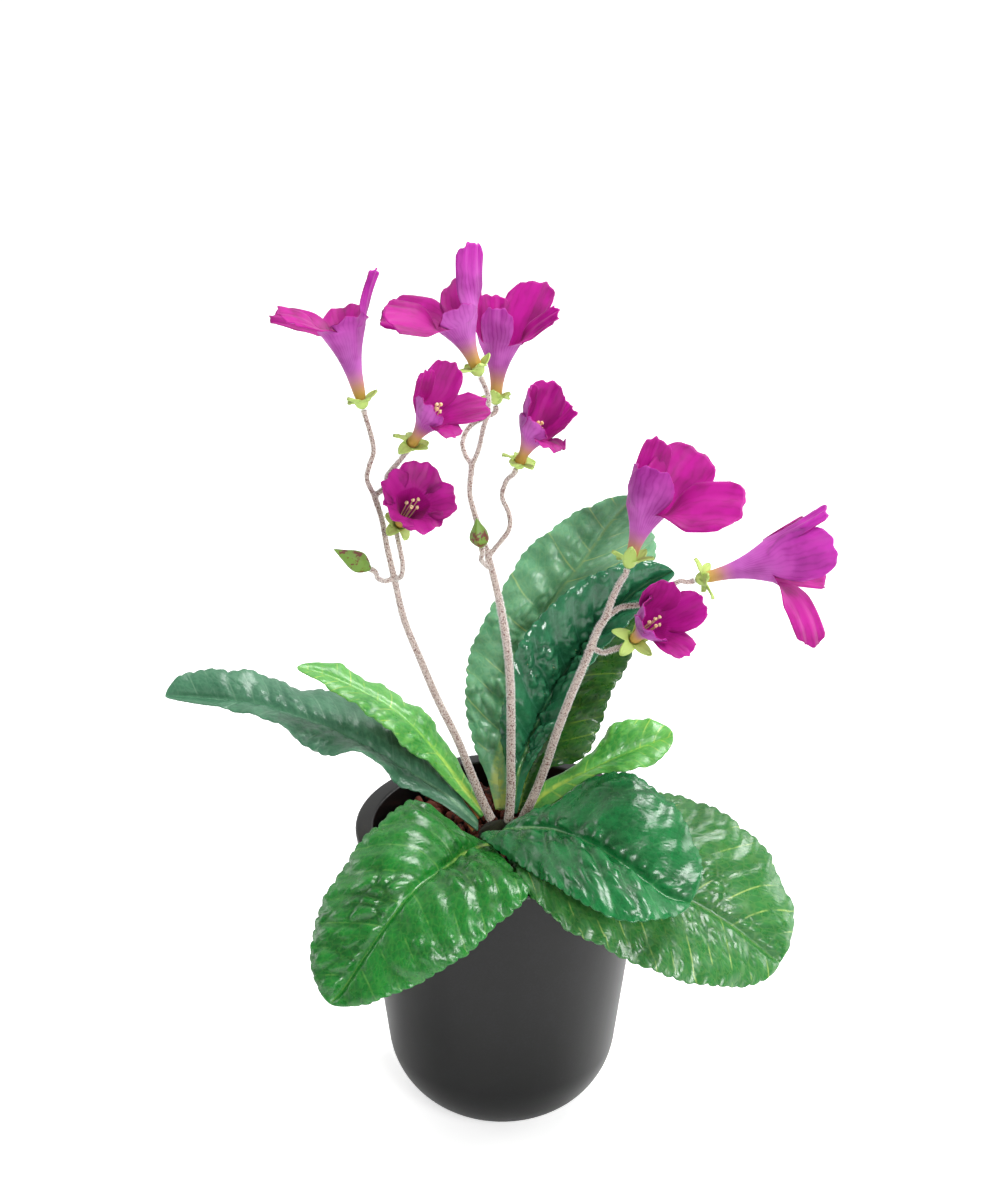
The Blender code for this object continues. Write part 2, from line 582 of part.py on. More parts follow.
def main():
    clear_scene()
    plant = bpy.data.collections.new("potted_streptocarpus")
    guides = bpy.data.collections.new("strands_to_join")
    for collection in (plant, guides):
        bpy.context.scene.collection.children.link(collection)
    make_pot(plant)
    make_filling(plant)
    for name, leaf in LEAVES.items():
        make_leaf(name, leaf, plant)
    for name, routes in STALKS.items():
        make_stalk(name, routes, plant, guides)
    for name, flower in FLOWERS.items():
        make_flower(name, flower, plant)
    for name, bud in BUDS.items():
        make_bud(name, bud, plant)


if __name__ == "__main__":
    main()
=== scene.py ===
"""Looks of the potted streptocarpus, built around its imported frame."""
import logging
import math
from dataclasses import dataclass, field
from enum import Enum

import bmesh
import bpy
import numpy as np
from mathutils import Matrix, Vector, noise


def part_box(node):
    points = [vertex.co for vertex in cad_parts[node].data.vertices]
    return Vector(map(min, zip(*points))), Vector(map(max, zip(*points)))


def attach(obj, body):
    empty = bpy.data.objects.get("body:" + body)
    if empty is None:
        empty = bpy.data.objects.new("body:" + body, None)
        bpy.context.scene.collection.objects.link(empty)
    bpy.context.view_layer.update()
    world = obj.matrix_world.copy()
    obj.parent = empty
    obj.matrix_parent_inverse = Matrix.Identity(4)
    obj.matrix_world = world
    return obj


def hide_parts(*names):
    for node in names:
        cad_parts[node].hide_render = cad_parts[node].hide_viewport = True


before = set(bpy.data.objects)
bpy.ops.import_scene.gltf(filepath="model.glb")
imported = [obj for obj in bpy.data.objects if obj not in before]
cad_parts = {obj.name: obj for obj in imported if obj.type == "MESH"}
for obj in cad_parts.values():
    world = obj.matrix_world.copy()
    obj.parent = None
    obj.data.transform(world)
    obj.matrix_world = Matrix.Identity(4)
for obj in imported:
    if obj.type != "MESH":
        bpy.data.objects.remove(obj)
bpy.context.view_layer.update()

LOG = logging.getLogger("streptocarpus")
MM = 0.001                      # the plant is written in millimetres
ROOT = "root"
UV_SCALE = 0.01                 # one UV unit is 100 mm, so materials can read real sizes
CURVE_STEPS = 300               # how finely a curve is measured
HAIR_CORNERS = (0, 2.094, 4.189)    # radians, thirds of a turn
LOBES = 5
SECTOR = math.pi / LOBES        # half the angle that one lobe takes
VEIN_SLANT = 0.55               # how far a lateral vein runs forward for each mm outward
VEIN_CURVE = 0.006              # and how much more it bends forward, per mm squared
TOOTH_PITCH = 5.4               # mm between the notches of a leaf's scalloped margin
NARROW_TO_FULL = (4, 14)        # mm from midrib to margin, over which scallops and quilts grow
AIM = (0, 0, 0.2)               # metres, the middle of the plant, where the lamps point
WHITE = "ffffff"

Point = tuple[float, float, float]
Socket = bpy.types.NodeSocket


# ---------------------------------------------------------------- small tools

def unit(v: np.ndarray) -> np.ndarray:
    """The vector at length one."""
    return np.asarray(v, float) / np.linalg.norm(v)


def smoothstep(x: np.ndarray, low: float, high: float) -> np.ndarray:
    """Rises smoothly from 0 to 1.

    Args:
        x: where to read the step.
        low: the step is 0 below this.
        high: the step is 1 above this.

    Returns:
        The step's value at each x.
    """
    t = np.clip((np.asarray(x, float) - low) / (high - low), 0, 1)
    return t * t * (3 - 2 * t)


def route_at(points: list[Point], stations: np.ndarray) -> np.ndarray:
    """Reads a Catmull-Rom curve.

    Args:
        points: places that the curve passes through, in millimetres.
        stations: where to read it; a whole number is the place of that index.

    Returns:
        One row of x, y, z for each station.
    """
    p = np.array(points, float)
    p = np.vstack([2 * p[0] - p[1], p, 2 * p[-1] - p[-2]])
    i = np.clip(stations.astype(int), 0, len(p) - 4)
    t = (stations - i)[:, None]
    a, b, c, d = p[i], p[i + 1], p[i + 2], p[i + 3]
    return 0.5 * (2 * b + (c - a) * t + (2 * a - 5 * b + 4 * c - d) * t ** 2
                  + (3 * b - a - 3 * c + d) * t ** 3)


def run_along(line: np.ndarray) -> np.ndarray:
    """Distance from a line's first point to each of its points, along the line."""
    return np.concatenate([[0], np.cumsum(np.linalg.norm(np.diff(line, axis=0), axis=1))])


def even_stations(points: list[Point], last: float, pitch: float) -> np.ndarray:
    """Spreads stations evenly along a curve.

    Args:
        points: places that the curve passes through, in millimetres.
        last: the station at the curve's end.
        pitch: about how far apart the stations lie, in millimetres.

    Returns:
        Stations from 0 to last.
    """
    fine = np.linspace(0, last, CURVE_STEPS)
    run = run_along(route_at(points, fine))
    return np.interp(np.linspace(0, run[-1], max(int(run[-1] / pitch), 4)), run, fine)


def scatter(ix: np.ndarray, iy: np.ndarray, seed: int) -> tuple[np.ndarray, np.ndarray]:
    """Gives each cell of a grid its own place.

    Args:
        ix: the cells' whole numbers in x.
        iy: the same in y.
        seed: chooses the pattern.

    Returns:
        Two repeatable values from 0 to 1 for each cell.
    """
    # The factors are large and unrelated, so what is left after the whole number looks random
    base = np.sin(ix * 127.1 + iy * 311.7 + seed * 74.7) * 43758.5453
    other = np.sin(ix * 269.5 + iy * 183.3 + seed * 19.3) * 28001.8384
    return base - np.floor(base), other - np.floor(other)


def cells(x: np.ndarray, y: np.ndarray, size: float, seed: int) -> np.ndarray:
    """Cellular pattern: near 0 on the borders between cells, up to about 1 in their middles.

    Args:
        x: first coordinate, millimetres.
        y: second coordinate, millimetres.
        size: width of a cell, millimetres.
        seed: chooses the pattern.

    Returns:
        The pattern's value at each coordinate.
    """
    gx, gy = x / size, y / size
    ix, iy = np.floor(gx), np.floor(gy)
    nearest = np.full(gx.shape, 9.0)    # farther than any middle can be
    second = np.full(gx.shape, 9.0)
    for dx in (-1, 0, 1):
        for dy in (-1, 0, 1):
            hx, hy = scatter(ix + dx, iy + dy, seed)
            # A middle keeps a tenth of a cell away from the cell's sides
            gap = np.hypot(ix + dx + 0.1 + 0.8 * hx - gx, iy + dy + 0.1 + 0.8 * hy - gy)
            second = np.where(gap < nearest, nearest, np.minimum(second, gap))
            nearest = np.minimum(nearest, gap)
    return second - nearest


def waves(x: np.ndarray, y: np.ndarray, size: float, seed: int) -> np.ndarray:
    """Soft uneven noise.

    Args:
        x: first coordinate, millimetres.
        y: second coordinate, millimetres.
        size: about how wide a rise or a hollow is, millimetres.
        seed: chooses the pattern; each one reads another layer of the noise.

    Returns:
        Values from -1 to 1.
    """
    spots = np.stack([x / size, y / size, np.full(x.shape, seed * 3.7)], -1).reshape(-1, 3)
    return np.array([noise.noise(Vector(s)) for s in spots]).reshape(x.shape)


def mesh_piece(name: str, points: np.ndarray, faces: list[tuple[int, ...]],
               materials: list[bpy.types.Material], uvs: np.ndarray | None = None) -> bpy.types.Object:
    """Makes a smooth mesh object.

    Args:
        name: the object's name.
        points: vertices in millimetres.
        faces: vertex indices of each face.
        materials: one per slot.
        uvs: per-corner coordinates, in the order of the faces' corners.

    Returns:
        The new object, linked to the scene.
    """
    mesh = bpy.data.meshes.new(name)
    mesh.from_pydata((np.asarray(points, float) * MM).tolist(), [], faces)
    if uvs is not None:
        layer = mesh.uv_layers.new(name="surface")
        layer.data.foreach_set("uv", np.asarray(uvs, float).ravel())
    mesh.shade_smooth()
    for material in materials:
        mesh.materials.append(material)
    piece = bpy.data.objects.new(name, mesh)
    bpy.context.scene.collection.objects.link(piece)
    return piece


def grid_faces(rows: int, columns: int, closed: bool = False) -> list[tuple[int, ...]]:
    """Makes the quads of a grid of vertices.

    Args:
        rows: rows of vertices.
        columns: vertices in a row.
        closed: whether the last column joins the first.

    Returns:
        Vertex indices of each quad, row by row.
    """
    across = columns if closed else columns - 1
    return [(r * columns + c, r * columns + (c + 1) % columns,
             (r + 1) * columns + (c + 1) % columns, (r + 1) * columns + c)
            for r in range(rows - 1) for c in range(across)]


def capped_faces(rows: int, columns: int) -> list[tuple[int, ...]]:
    """Quads of a grid that is closed round its columns, then a face over each end."""
    ends = [tuple(reversed(range(columns))), tuple(range((rows - 1) * columns, rows * columns))]
    return grid_faces(rows, columns, closed=True) + ends


def grid_normals(grid: np.ndarray) -> np.ndarray:
    """Finds the normals of a grid of points.

    Args:
        grid: rows of columns of x, y, z.

    Returns:
        Unit vectors, towards the side from which the columns run left to right.
    """
    along = np.gradient(grid, axis=0)
    across = np.gradient(grid, axis=1)
    normal = np.cross(across, along)
    return normal / np.maximum(np.linalg.norm(normal, axis=-1, keepdims=True), 1e-9)


def thicken(piece: bpy.types.Object, thickness: float, inside: int = 0) -> None:
    """Gives an open surface its thickness.

    Args:
        piece: the surface.
        thickness: in millimetres, half to each side.
        inside: material slot of the inner face.
    """
    solid = piece.modifiers.new("thickness", "SOLIDIFY")
    solid.thickness = thickness * MM
    solid.offset = 0
    solid.material_offset = solid.material_offset_rim = inside


def settle(piece: bpy.types.Object) -> None:
    """Turns a piece's modifiers into its mesh.

    Args:
        piece: an object with modifiers.
    """
    depsgraph = bpy.context.evaluated_depsgraph_get()
    mesh = bpy.data.meshes.new_from_object(piece.evaluated_get(depsgraph))
    piece.modifiers.clear()
    piece.data = mesh


def declare(piece: bpy.types.Object, slot: str, *nodes: str) -> None:
    """Puts a piece on the frame.

    Args:
        piece: the visible piece.
        slot: the finish it takes; not used.
        nodes: the CAD nodes it stands for.
    """
    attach(piece, ROOT)
    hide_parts(*nodes)
    LOG.info("%s stands for %s", piece.name, ", ".join(nodes))


# ---------------------------------------------------------------- materials

SMOOTH = {"interpolation_type": "SMOOTHSTEP"}   # a soft, clamped step
MIX = {"data_type": "RGBA", "out": 2}           # a mix of two colours: links 0, 6 and 7


def linear(colour: str) -> tuple[float, float, float, float]:
    """Turns an sRGB hex colour into linear light.

    Args:
        colour: such as "3a7d44".

    Returns:
        Linear red, green, blue and alpha.
    """
    values = [int(colour[i:i + 2], 16) / 255 for i in (0, 2, 4)]
    return (*[v / 12.92 if v <= 0.04045 else ((v + 0.055) / 1.055) ** 2.4 for v in values], 1.0)


def plug(tree: bpy.types.NodeTree, node: bpy.types.Node, links: dict[str | int, object]) -> None:
    """Fills a node's inputs.

    Args:
        tree: the material's node tree.
        node: the node.
        links: for each input's name or number, a socket to link or a value to set.
    """
    for key, value in links.items():
        if isinstance(value, Socket):
            tree.links.new(value, node.inputs[key])
        else:
            node.inputs[key].default_value = value


def per_metre(size: float) -> float:
    """How often a pattern of this size in millimetres repeats in a metre."""
    return 1 / (size * MM)


def add_node(tree: bpy.types.NodeTree, kind: str, *values: object,
             links: dict[str | int, object] | None = None, out: int | str = 0,
             **settings: object) -> Socket:
    """Adds a shader node with its settings and links.

    Args:
        tree: the material's node tree.
        kind: the node's type name, without its ShaderNode prefix.
        values: for the first inputs in turn, a socket to link or a value to set.
        links: the same for other inputs, by name or number.
        out: which output to return.
        settings: properties of the node.

    Returns:
        The chosen output.
    """
    node = tree.nodes.new(f"ShaderNode{kind}")
    for key, value in settings.items():
        setattr(node, key, value)
    plug(tree, node, {**dict(enumerate(values)), **(links or {})})
    return node.outputs[out]


def start_material(name: str) -> tuple[bpy.types.Material, bpy.types.NodeTree, bpy.types.Node]:
    """Starts a node material.

    Args:
        name: the material's name.

    Returns:
        The material, its node tree and its Principled shader.
    """
    material = bpy.data.materials.new(name)
    material.use_nodes = True
    return material, material.node_tree, material.node_tree.nodes["Principled BSDF"]


def dressed(finish: Enum) -> bpy.types.Material:
    """The material of a finish, built the first time it is asked for."""
    return bpy.data.materials.get(finish.value.name) or finish.value.material()


@dataclass(frozen=True)
class LeafBlade:
    """Living leaf skin: waxy cuticle over green tissue, with paler veins sunk between raised quilts."""

    name: str
    shade: str                   # painted shade in the hollows between the quilts; also the darker random patches
    light: str                   # on the raised quilts, outside the painted shade of the hollows; also the lighter random patches
    vein: str
    midrib: str
    roughness: float = 0.30      # waxy cuticle: a soft gloss that breaks up on the relief
    ior: float = 1.6             # plant wax is near 1.45, raised for the leaves' strong shine
    vein_strength: float = 0.30
    vein_spacing: float = 9.0    # mm between lateral veins, as in the relief
    vein_core: float = 0.15      # mm from a vein's centre, where it is palest
    vein_edge: float = 0.6       # mm from a vein's centre, where it ends
    net_strength: float = 0.08
    net: float = 3.2             # mm, the meshes between the finest veins
    net_depth: float = 0.07      # mm
    rib_width: float = 0.9       # mm, half of the pale midrib at its base
    rib_start: float = 8.0       # mm from the base, where the midrib begins to fade
    rib_end: float = 60.0        # mm from the base, where it is faintest
    rib_faintest: float = 0.22
    patch: float = 14.286        # mm, cloudy lighter and darker patches
    ripple: float = 3.125        # mm, unevenness of the wax
    fleck: float = 2.0           # mm, drawn coarser than the real skin cells so that they show

    def material(self) -> bpy.types.Material:
        """Builds the node material."""
        material, tree, shader = start_material(self.name)
        uv = add_node(tree, "UVMap", uv_map="surface")
        place = add_node(tree, "VectorMath", uv, (1 / UV_SCALE,) * 3, operation="MULTIPLY")
        along = add_node(tree, "SeparateXYZ", place)
        side = add_node(tree, "SeparateXYZ", place, out=1)
        away = add_node(tree, "Math", side, operation="ABSOLUTE")
        # Lateral veins: the slanted rows of the relief, each half of the leaf half a row apart
        square = add_node(tree, "Math", away, 2.0, operation="POWER")
        slanted = add_node(tree, "Math", away, -VEIN_SLANT, along, operation="MULTIPLY_ADD")
        sheared = add_node(tree, "Math", square, -VEIN_CURVE, slanted, operation="MULTIPLY_ADD")
        right = add_node(tree, "Math", side, 0.0, operation="GREATER_THAN")
        half = add_node(tree, "Math", right, 0.5, operation="MULTIPLY")
        phase = add_node(tree, "Math", sheared, 1 / self.vein_spacing, half, operation="MULTIPLY_ADD")
        near = add_node(tree, "Math", phase, 0.5, operation="PINGPONG")
        lateral = add_node(tree, "MapRange", near, self.vein_core / self.vein_spacing,
                           self.vein_edge / self.vein_spacing, 1.0, 0.0, **SMOOTH)
        # Midrib: pale and wide at the base, thinner and fainter towards the tip
        faint = add_node(tree, "MapRange", along, self.rib_start, self.rib_end, 1.0,
                         self.rib_faintest, **SMOOTH)
        slim = add_node(tree, "Math", faint, self.rib_width, operation="MULTIPLY")
        beside = add_node(tree, "Math", away, slim, operation="DIVIDE")
        # Net of the finest veins
        sheet = add_node(tree, "CombineXYZ", sheared, side)
        net = add_node(tree, "TexVoronoi", links={"Vector": sheet, "Scale": 1 / self.net},
                       feature="DISTANCE_TO_EDGE")
        threads = add_node(tree, "MapRange", net, 0.02, 0.12, 1.0, 0.0, **SMOOTH)
        # Cloudy patches, which also break up the lateral veins, and flecks on them
        groove = add_node(tree, "Attribute", attribute_name="groove", out="Fac")
        spot = add_node(tree, "TexCoord", out="Object")
        patches = add_node(tree, "TexNoise", links={"Vector": spot, "Scale": per_metre(self.patch),
                                                    "Detail": 4.0, "Roughness": 0.6})
        broken = add_node(tree, "MapRange", patches, 0.45, 0.62, **SMOOTH)
        lateral = add_node(tree, "Math", lateral, broken, operation="MULTIPLY")
        wax = add_node(tree, "TexNoise", links={"Vector": spot, "Scale": per_metre(self.ripple),
                                                "Detail": 2.0})
        grain = add_node(tree, "TexNoise", links={"Vector": spot, "Scale": per_metre(self.fleck),
                                                  "Detail": 4.0, "Roughness": 0.75})
        mottle = add_node(tree, "Math", patches, grain, operation="ADD")
        tone = add_node(tree, "MapRange", mottle, 0.6, 1.4, 0.15, 0.95)
        # Painted shade: the grooves between the quilts pull the colour towards the shade colour
        tone = add_node(tree, "Math", groove, -0.5, tone, operation="MULTIPLY_ADD", use_clamp=True)
        green = add_node(tree, "Mix", links={0: tone, 6: linear(self.shade), 7: linear(self.light)}, **MIX)
        patchy = add_node(tree, "MapRange", wax, 0.35, 0.6, 0.35, 1.0, **SMOOTH)
        strong = add_node(tree, "Math", faint, patchy, operation="MULTIPLY")
        rib = add_node(tree, "MapRange", beside, 0.5, 1.5, strong, 0.0, **SMOOTH)
        for lines, strength in ((threads, self.net_strength), (lateral, self.vein_strength)):
            amount = add_node(tree, "Math", lines, strength, operation="MULTIPLY")
            green = add_node(tree, "Mix", links={0: amount, 6: green, 7: linear(self.vein)}, **MIX)
        green = add_node(tree, "Mix", links={0: rib, 6: green, 7: linear(self.midrib)}, **MIX)
        # The wax is uneven in gloss and in height
        gloss = add_node(tree, "MapRange", wax, 0.2, 0.8, self.roughness - 0.07,
                         self.roughness + 0.09, **SMOOTH)
        raised = add_node(tree, "MapRange", net, 0.0, 0.3, 0.0, 0.7, **SMOOTH)
        height = add_node(tree, "Math", wax, 0.5, raised, operation="MULTIPLY_ADD")
        bump = add_node(tree, "Bump", links={"Strength": 1.0, "Distance": self.net_depth * MM,
                                             "Height": height})
        plug(tree, shader, {"Base Color": green, "Roughness": gloss, "Normal": bump, "IOR": self.ior})
        return material


class Blade(Enum):
    """The leaf finishes on this plant, by how old and how shaded the leaf is."""

    # Full-grown leaf in the light: deep green, with a white shine on each quilt
    QUILTED = LeafBlade("leaf_cuticle_quilted", "0a5216", "1f8e30", "86c05c", "9fc25c", roughness=0.29,
                        vein_spacing=13.0)
    # Full-grown and thick: the bluest green, the smoothest wax
    DARK = LeafBlade("leaf_cuticle_dark", "054c20", "0f8440", "5ca866", "6fae5c", roughness=0.28,
                     vein_spacing=14.0)
    # Old outer leaf: softer green, with straw-coloured lateral veins that stand out
    BROAD = LeafBlade("leaf_cuticle_broad", "1f6428", "3c8b41", "b9d273", "a9c567",
                      vein_strength=0.6, net_strength=0.07, vein_spacing=12.0)
    # Long leaf under fine down: grey-green and duller
    GREY = LeafBlade("leaf_cuticle_grey", "30674a", "528d69", "86b08f", "86b08a", roughness=0.36)
    # Wax bloom over the green: pale and cool, yellow along the foot of the midrib
    TALL = LeafBlade("leaf_cuticle_bloomed", "4a8d60", "79b688", "b9d17e", "b9c763", roughness=0.36,
                     vein_strength=0.55, rib_width=3.2, rib_end=45.0, vein_spacing=12.0)
    # The glossiest leaf: dark teal with small sharp glints
    FOLDED = LeafBlade("leaf_cuticle_teal", "1b5a3a", "368458", "4c8f72", "6d9d52", roughness=0.16,
                       vein_spacing=12.0)
    # Behind the others: dark olive with yellow-green veins, darkened as painted shade from the leaf and the
    # flower in front
    SHADED = LeafBlade("leaf_cuticle_shaded", "143f14", "2a6a26", "8fae3c", "89a63f", vein_strength=0.35)
    # Tender new leaf: thin wax over bright yellow-green
    YOUNG = LeafBlade("leaf_cuticle_young", "2f8a33", "74c65c", "c0dd62", "bcd95c", roughness=0.33,
                      vein_spacing=7.0, rib_width=1.4, vein_strength=0.55)


@dataclass(frozen=True)
class LeafUnderside:
    """Downy underside: paler and matte, with the ribs standing out in straw or rust colour."""

    name: str
    tissue: str
    down: str
    rib: str
    roughness: float = 0.7       # down scatters the light: no shine
    rib_core: float = 1.0        # mm from the midrib's centre, all rib colour within
    rib_edge: float = 3.5        # mm from the midrib's centre, where its colour ends
    fuzz: float = 1.1111         # mm, tufts of down, drawn coarser than hairs so that they show
    fuzz_depth: float = 0.08     # mm

    def material(self) -> bpy.types.Material:
        """Builds the node material."""
        material, tree, shader = start_material(self.name)
        uv = add_node(tree, "UVMap", uv_map="surface")
        side = add_node(tree, "SeparateXYZ", uv, out=1)
        away = add_node(tree, "Math", side, operation="ABSOLUTE")
        rib = add_node(tree, "MapRange", away, self.rib_core * UV_SCALE, self.rib_edge * UV_SCALE,
                       1.0, 0.0, **SMOOTH)
        groove = add_node(tree, "Attribute", attribute_name="groove", out="Fac")
        ribs = add_node(tree, "Math", groove, 0.45, rib, operation="MULTIPLY_ADD", use_clamp=True)
        spot = add_node(tree, "TexCoord", out="Object")
        fuzz = add_node(tree, "TexNoise", links={"Vector": spot, "Scale": per_metre(self.fuzz),
                                                 "Detail": 3.0})
        amount = add_node(tree, "MapRange", fuzz, 0.35, 0.65, **SMOOTH)
        body = add_node(tree, "Mix", links={0: amount, 6: linear(self.tissue), 7: linear(self.down)}, **MIX)
        colour = add_node(tree, "Mix", links={0: ribs, 6: body, 7: linear(self.rib)}, **MIX)
        bump = add_node(tree, "Bump", links={"Strength": 1.0, "Distance": self.fuzz_depth * MM,
                                             "Height": fuzz})
        plug(tree, shader, {"Base Color": colour, "Normal": bump, "Roughness": self.roughness})
        return material


@dataclass(frozen=True)
class Petal:
    """Petal tissue: thin, moist and slightly see-through, with darker veins that fan out."""

    name: str
    base: str                    # at the tube's foot
    tube: str
    lobe: str
    vein: str
    base_end: float = 17.0       # mm from the foot, where the base colour has faded out
    tube_end: float = 52.0       # mm from the foot, where the lobe colour is reached
    veins_a_lobe: float = 8.0
    vein_strength: float = 0.5
    vein_depth: float = 0.15     # mm
    wander: float = 6.25         # mm, length of a vein's bends
    stray: float = 1.6           # how far a vein bends, in gaps between veins
    blush: float = 11.111        # mm, patches where the vein colour spreads
    roughness: float = 0.5       # moist but not waxy: a satin look
    specular: float = 0.25
    glow: float = 0.35           # how much light passes into the thin tissue
    glow_depth: float = 2.5      # mm

    def material(self) -> bpy.types.Material:
        """Builds the node material."""
        material, tree, shader = start_material(self.name)
        uv = add_node(tree, "UVMap", uv_map="surface")
        around = add_node(tree, "SeparateXYZ", uv)
        run = add_node(tree, "SeparateXYZ", uv, out=1)
        spot = add_node(tree, "TexCoord", out="Object")
        wander = add_node(tree, "TexNoise", links={"Vector": spot, "Scale": per_metre(self.wander),
                                                   "Detail": 3.0})
        patches = add_node(tree, "TexNoise", links={"Vector": spot, "Scale": per_metre(self.blush),
                                                    "Detail": 2.0})
        # Fine veins that fan out, stronger in some patches than in others
        drift = add_node(tree, "Math", wander, self.stray, operation="MULTIPLY")
        turn = add_node(tree, "Math", around, self.veins_a_lobe, drift, operation="MULTIPLY_ADD")
        near = add_node(tree, "Math", turn, 0.5, operation="PINGPONG")
        faint = add_node(tree, "MapRange", patches, 0.35, 0.65, 0.15 * self.vein_strength,
                         self.vein_strength)
        line = add_node(tree, "MapRange", near, 0.0, 0.3, faint, 0.0, **SMOOTH)
        blush = add_node(tree, "MapRange", patches, 0.35, 0.7, 0.0, 0.6, **SMOOTH)
        # Colours from the foot to the lobes
        spread = add_node(tree, "MapRange", run, self.base_end * UV_SCALE, self.tube_end * UV_SCALE,
                          **SMOOTH)
        foot = add_node(tree, "MapRange", run, 0.2 * self.base_end * UV_SCALE, self.base_end * UV_SCALE,
                        1.0, 0.0, **SMOOTH)
        colour = linear(self.tube)
        for amount, ink in ((spread, self.lobe), (blush, self.vein), (line, self.vein), (foot, self.base)):
            colour = add_node(tree, "Mix", links={0: amount, 6: colour, 7: linear(ink)}, **MIX)
        bump = add_node(tree, "Bump", links={"Strength": 0.8, "Distance": self.vein_depth * MM,
                                             "Height": line}, invert=True)
        # Magenta tissue lets red and blue light through farther than green
        plug(tree, shader, {"Base Color": colour, "Normal": bump, "Roughness": self.roughness,
                            "Specular IOR Level": self.specular, "Sheen Weight": 0.03,
                            "Subsurface Weight": self.glow, "Subsurface Radius": (1.0, 0.5, 0.9),
                            "Subsurface Scale": self.glow_depth * MM})
        return material


class Tissue(Enum):
    """The corollas' two faces and the two kinds of leaf underside."""

    # Outside of the corolla: amber foot, lilac tube, purple lobes
    OUTER = Petal("petal_outer", "c79a48", "bb5fb6", "ad279b", "7d1473")
    # Inside: deeper magenta that starts low in the throat
    INNER = Petal("petal_inner", "c98a70", "a0107a", "ae1187", "70044d", base_end=10.0, tube_end=44.0,
                  vein_strength=0.4)
    # Most leaves: straw ribs on pale green down
    BACK = LeafUnderside("leaf_underside_downy", "55804e", "7d9f70", "a8a35a")
    # The left leaves: rust-brown ribs that shine through at the edge
    BACK_RUSTY = LeafUnderside("leaf_underside_rusty", "66824a", "8a9460", "a9733c")


@dataclass(frozen=True)
class Speckled:
    """A matte natural surface with spots of a second colour and a little relief."""

    name: str
    body: str
    spots: str
    spot_size: float             # mm
    amount: float                # 0 to 1, how much of the surface the spots take
    roughness: float = 0.85
    depth: float = 0.15          # mm of relief
    sheen: float = 0.0
    specular: float = 0.5
    drift: float = 0.5           # how far the spots gather in clouds
    cloud: float = 9.0           # a cloud's width, in spots

    def material(self) -> bpy.types.Material:
        """Builds the node material."""
        material, tree, shader = start_material(self.name)
        spot = add_node(tree, "TexCoord", out="Object")
        scale = per_metre(self.spot_size)
        flecks = add_node(tree, "TexNoise", links={"Vector": spot, "Scale": scale, "Detail": 3.0,
                                                   "Roughness": 0.65})
        broad = add_node(tree, "TexNoise", links={"Vector": spot, "Scale": scale / self.cloud,
                                                  "Detail": 2.0})
        level = add_node(tree, "Math", broad, self.drift, flecks, operation="MULTIPLY_ADD")
        # Both noises lie around one half, so this edge leaves about the asked share of spots
        edge = 0.72 + 0.5 * self.drift - 0.4 * self.amount
        mask = add_node(tree, "MapRange", level, edge, edge + 0.08, **SMOOTH)
        colour = add_node(tree, "Mix", links={0: mask, 6: linear(self.body), 7: linear(self.spots)}, **MIX)
        bump = add_node(tree, "Bump", links={"Strength": 1.0, "Distance": self.depth * MM,
                                             "Height": flecks})
        plug(tree, shader, {"Base Color": colour, "Normal": bump, "Roughness": self.roughness,
                            "Sheen Weight": self.sheen, "Sheen Roughness": 0.35,
                            "Specular IOR Level": self.specular})
        return material


class Finish(Enum):
    """The surfaces of the pot, the filling, the stalks and the small green parts."""

    # Dipped matte glaze on earthenware: a broad soft sheen at the sides, faintly cloudy
    POT = Speckled("pot_matte_glaze", "0f0f0f", "131315", 1.1, 0.5, roughness=0.34, depth=0.012,
                   specular=0.36)
    # Damp peat: nearly black, crumbly
    MIX = Speckled("peat_mix", "1c110b", "3a2415", 2.5, 0.4, roughness=0.95, depth=0.6)
    # Fired clay, dusty and pitted; its colour is darkened overall as painted shade of the hollow under the
    # leaves
    GRANULE = Speckled("fired_clay_granule", "642a18", "2a110a", 2.2, 0.5, roughness=0.9, depth=0.35)
    # Old leaf bases round the crown, half dried
    CROWN = Speckled("crown_stem", "26260f", "14120a", 2.5, 0.5, roughness=0.9, depth=0.3)
    # Pinkish skin under the down, with rust flecks
    STALK = Speckled("stalk_skin", "c9b8ae", "6a382b", 0.7, 0.55, roughness=0.8, depth=0.12, sheen=1.0,
                     drift=0.0)
    # White hairs: a pale fringe along the stalk's outline
    DOWN = Speckled("stalk_down", "fbf8f5", "efe3dc", 0.7, 0.4, roughness=0.9, depth=0.02, sheen=0.3)
    # Thin fresh sepals: light yellow-green, slightly glossy
    CALYX = Speckled("sepal_skin", "bcd873", "93b852", 3.5, 0.3, roughness=0.5, depth=0.06)
    # Filaments and anthers dusted with pollen: cream and matte
    STAMEN = Speckled("stamen_pollen", "f1d9a6", "e3b070", 0.8, 0.4, roughness=0.6, depth=0.05)
    # Closed sepals: green with brown-red patches where they overlap
    BUD = Speckled("bud_skin", "6f9433", "6e3524", 3.0, 0.55, roughness=0.45, depth=0.08)


# ---------------------------------------------------------------- leaves

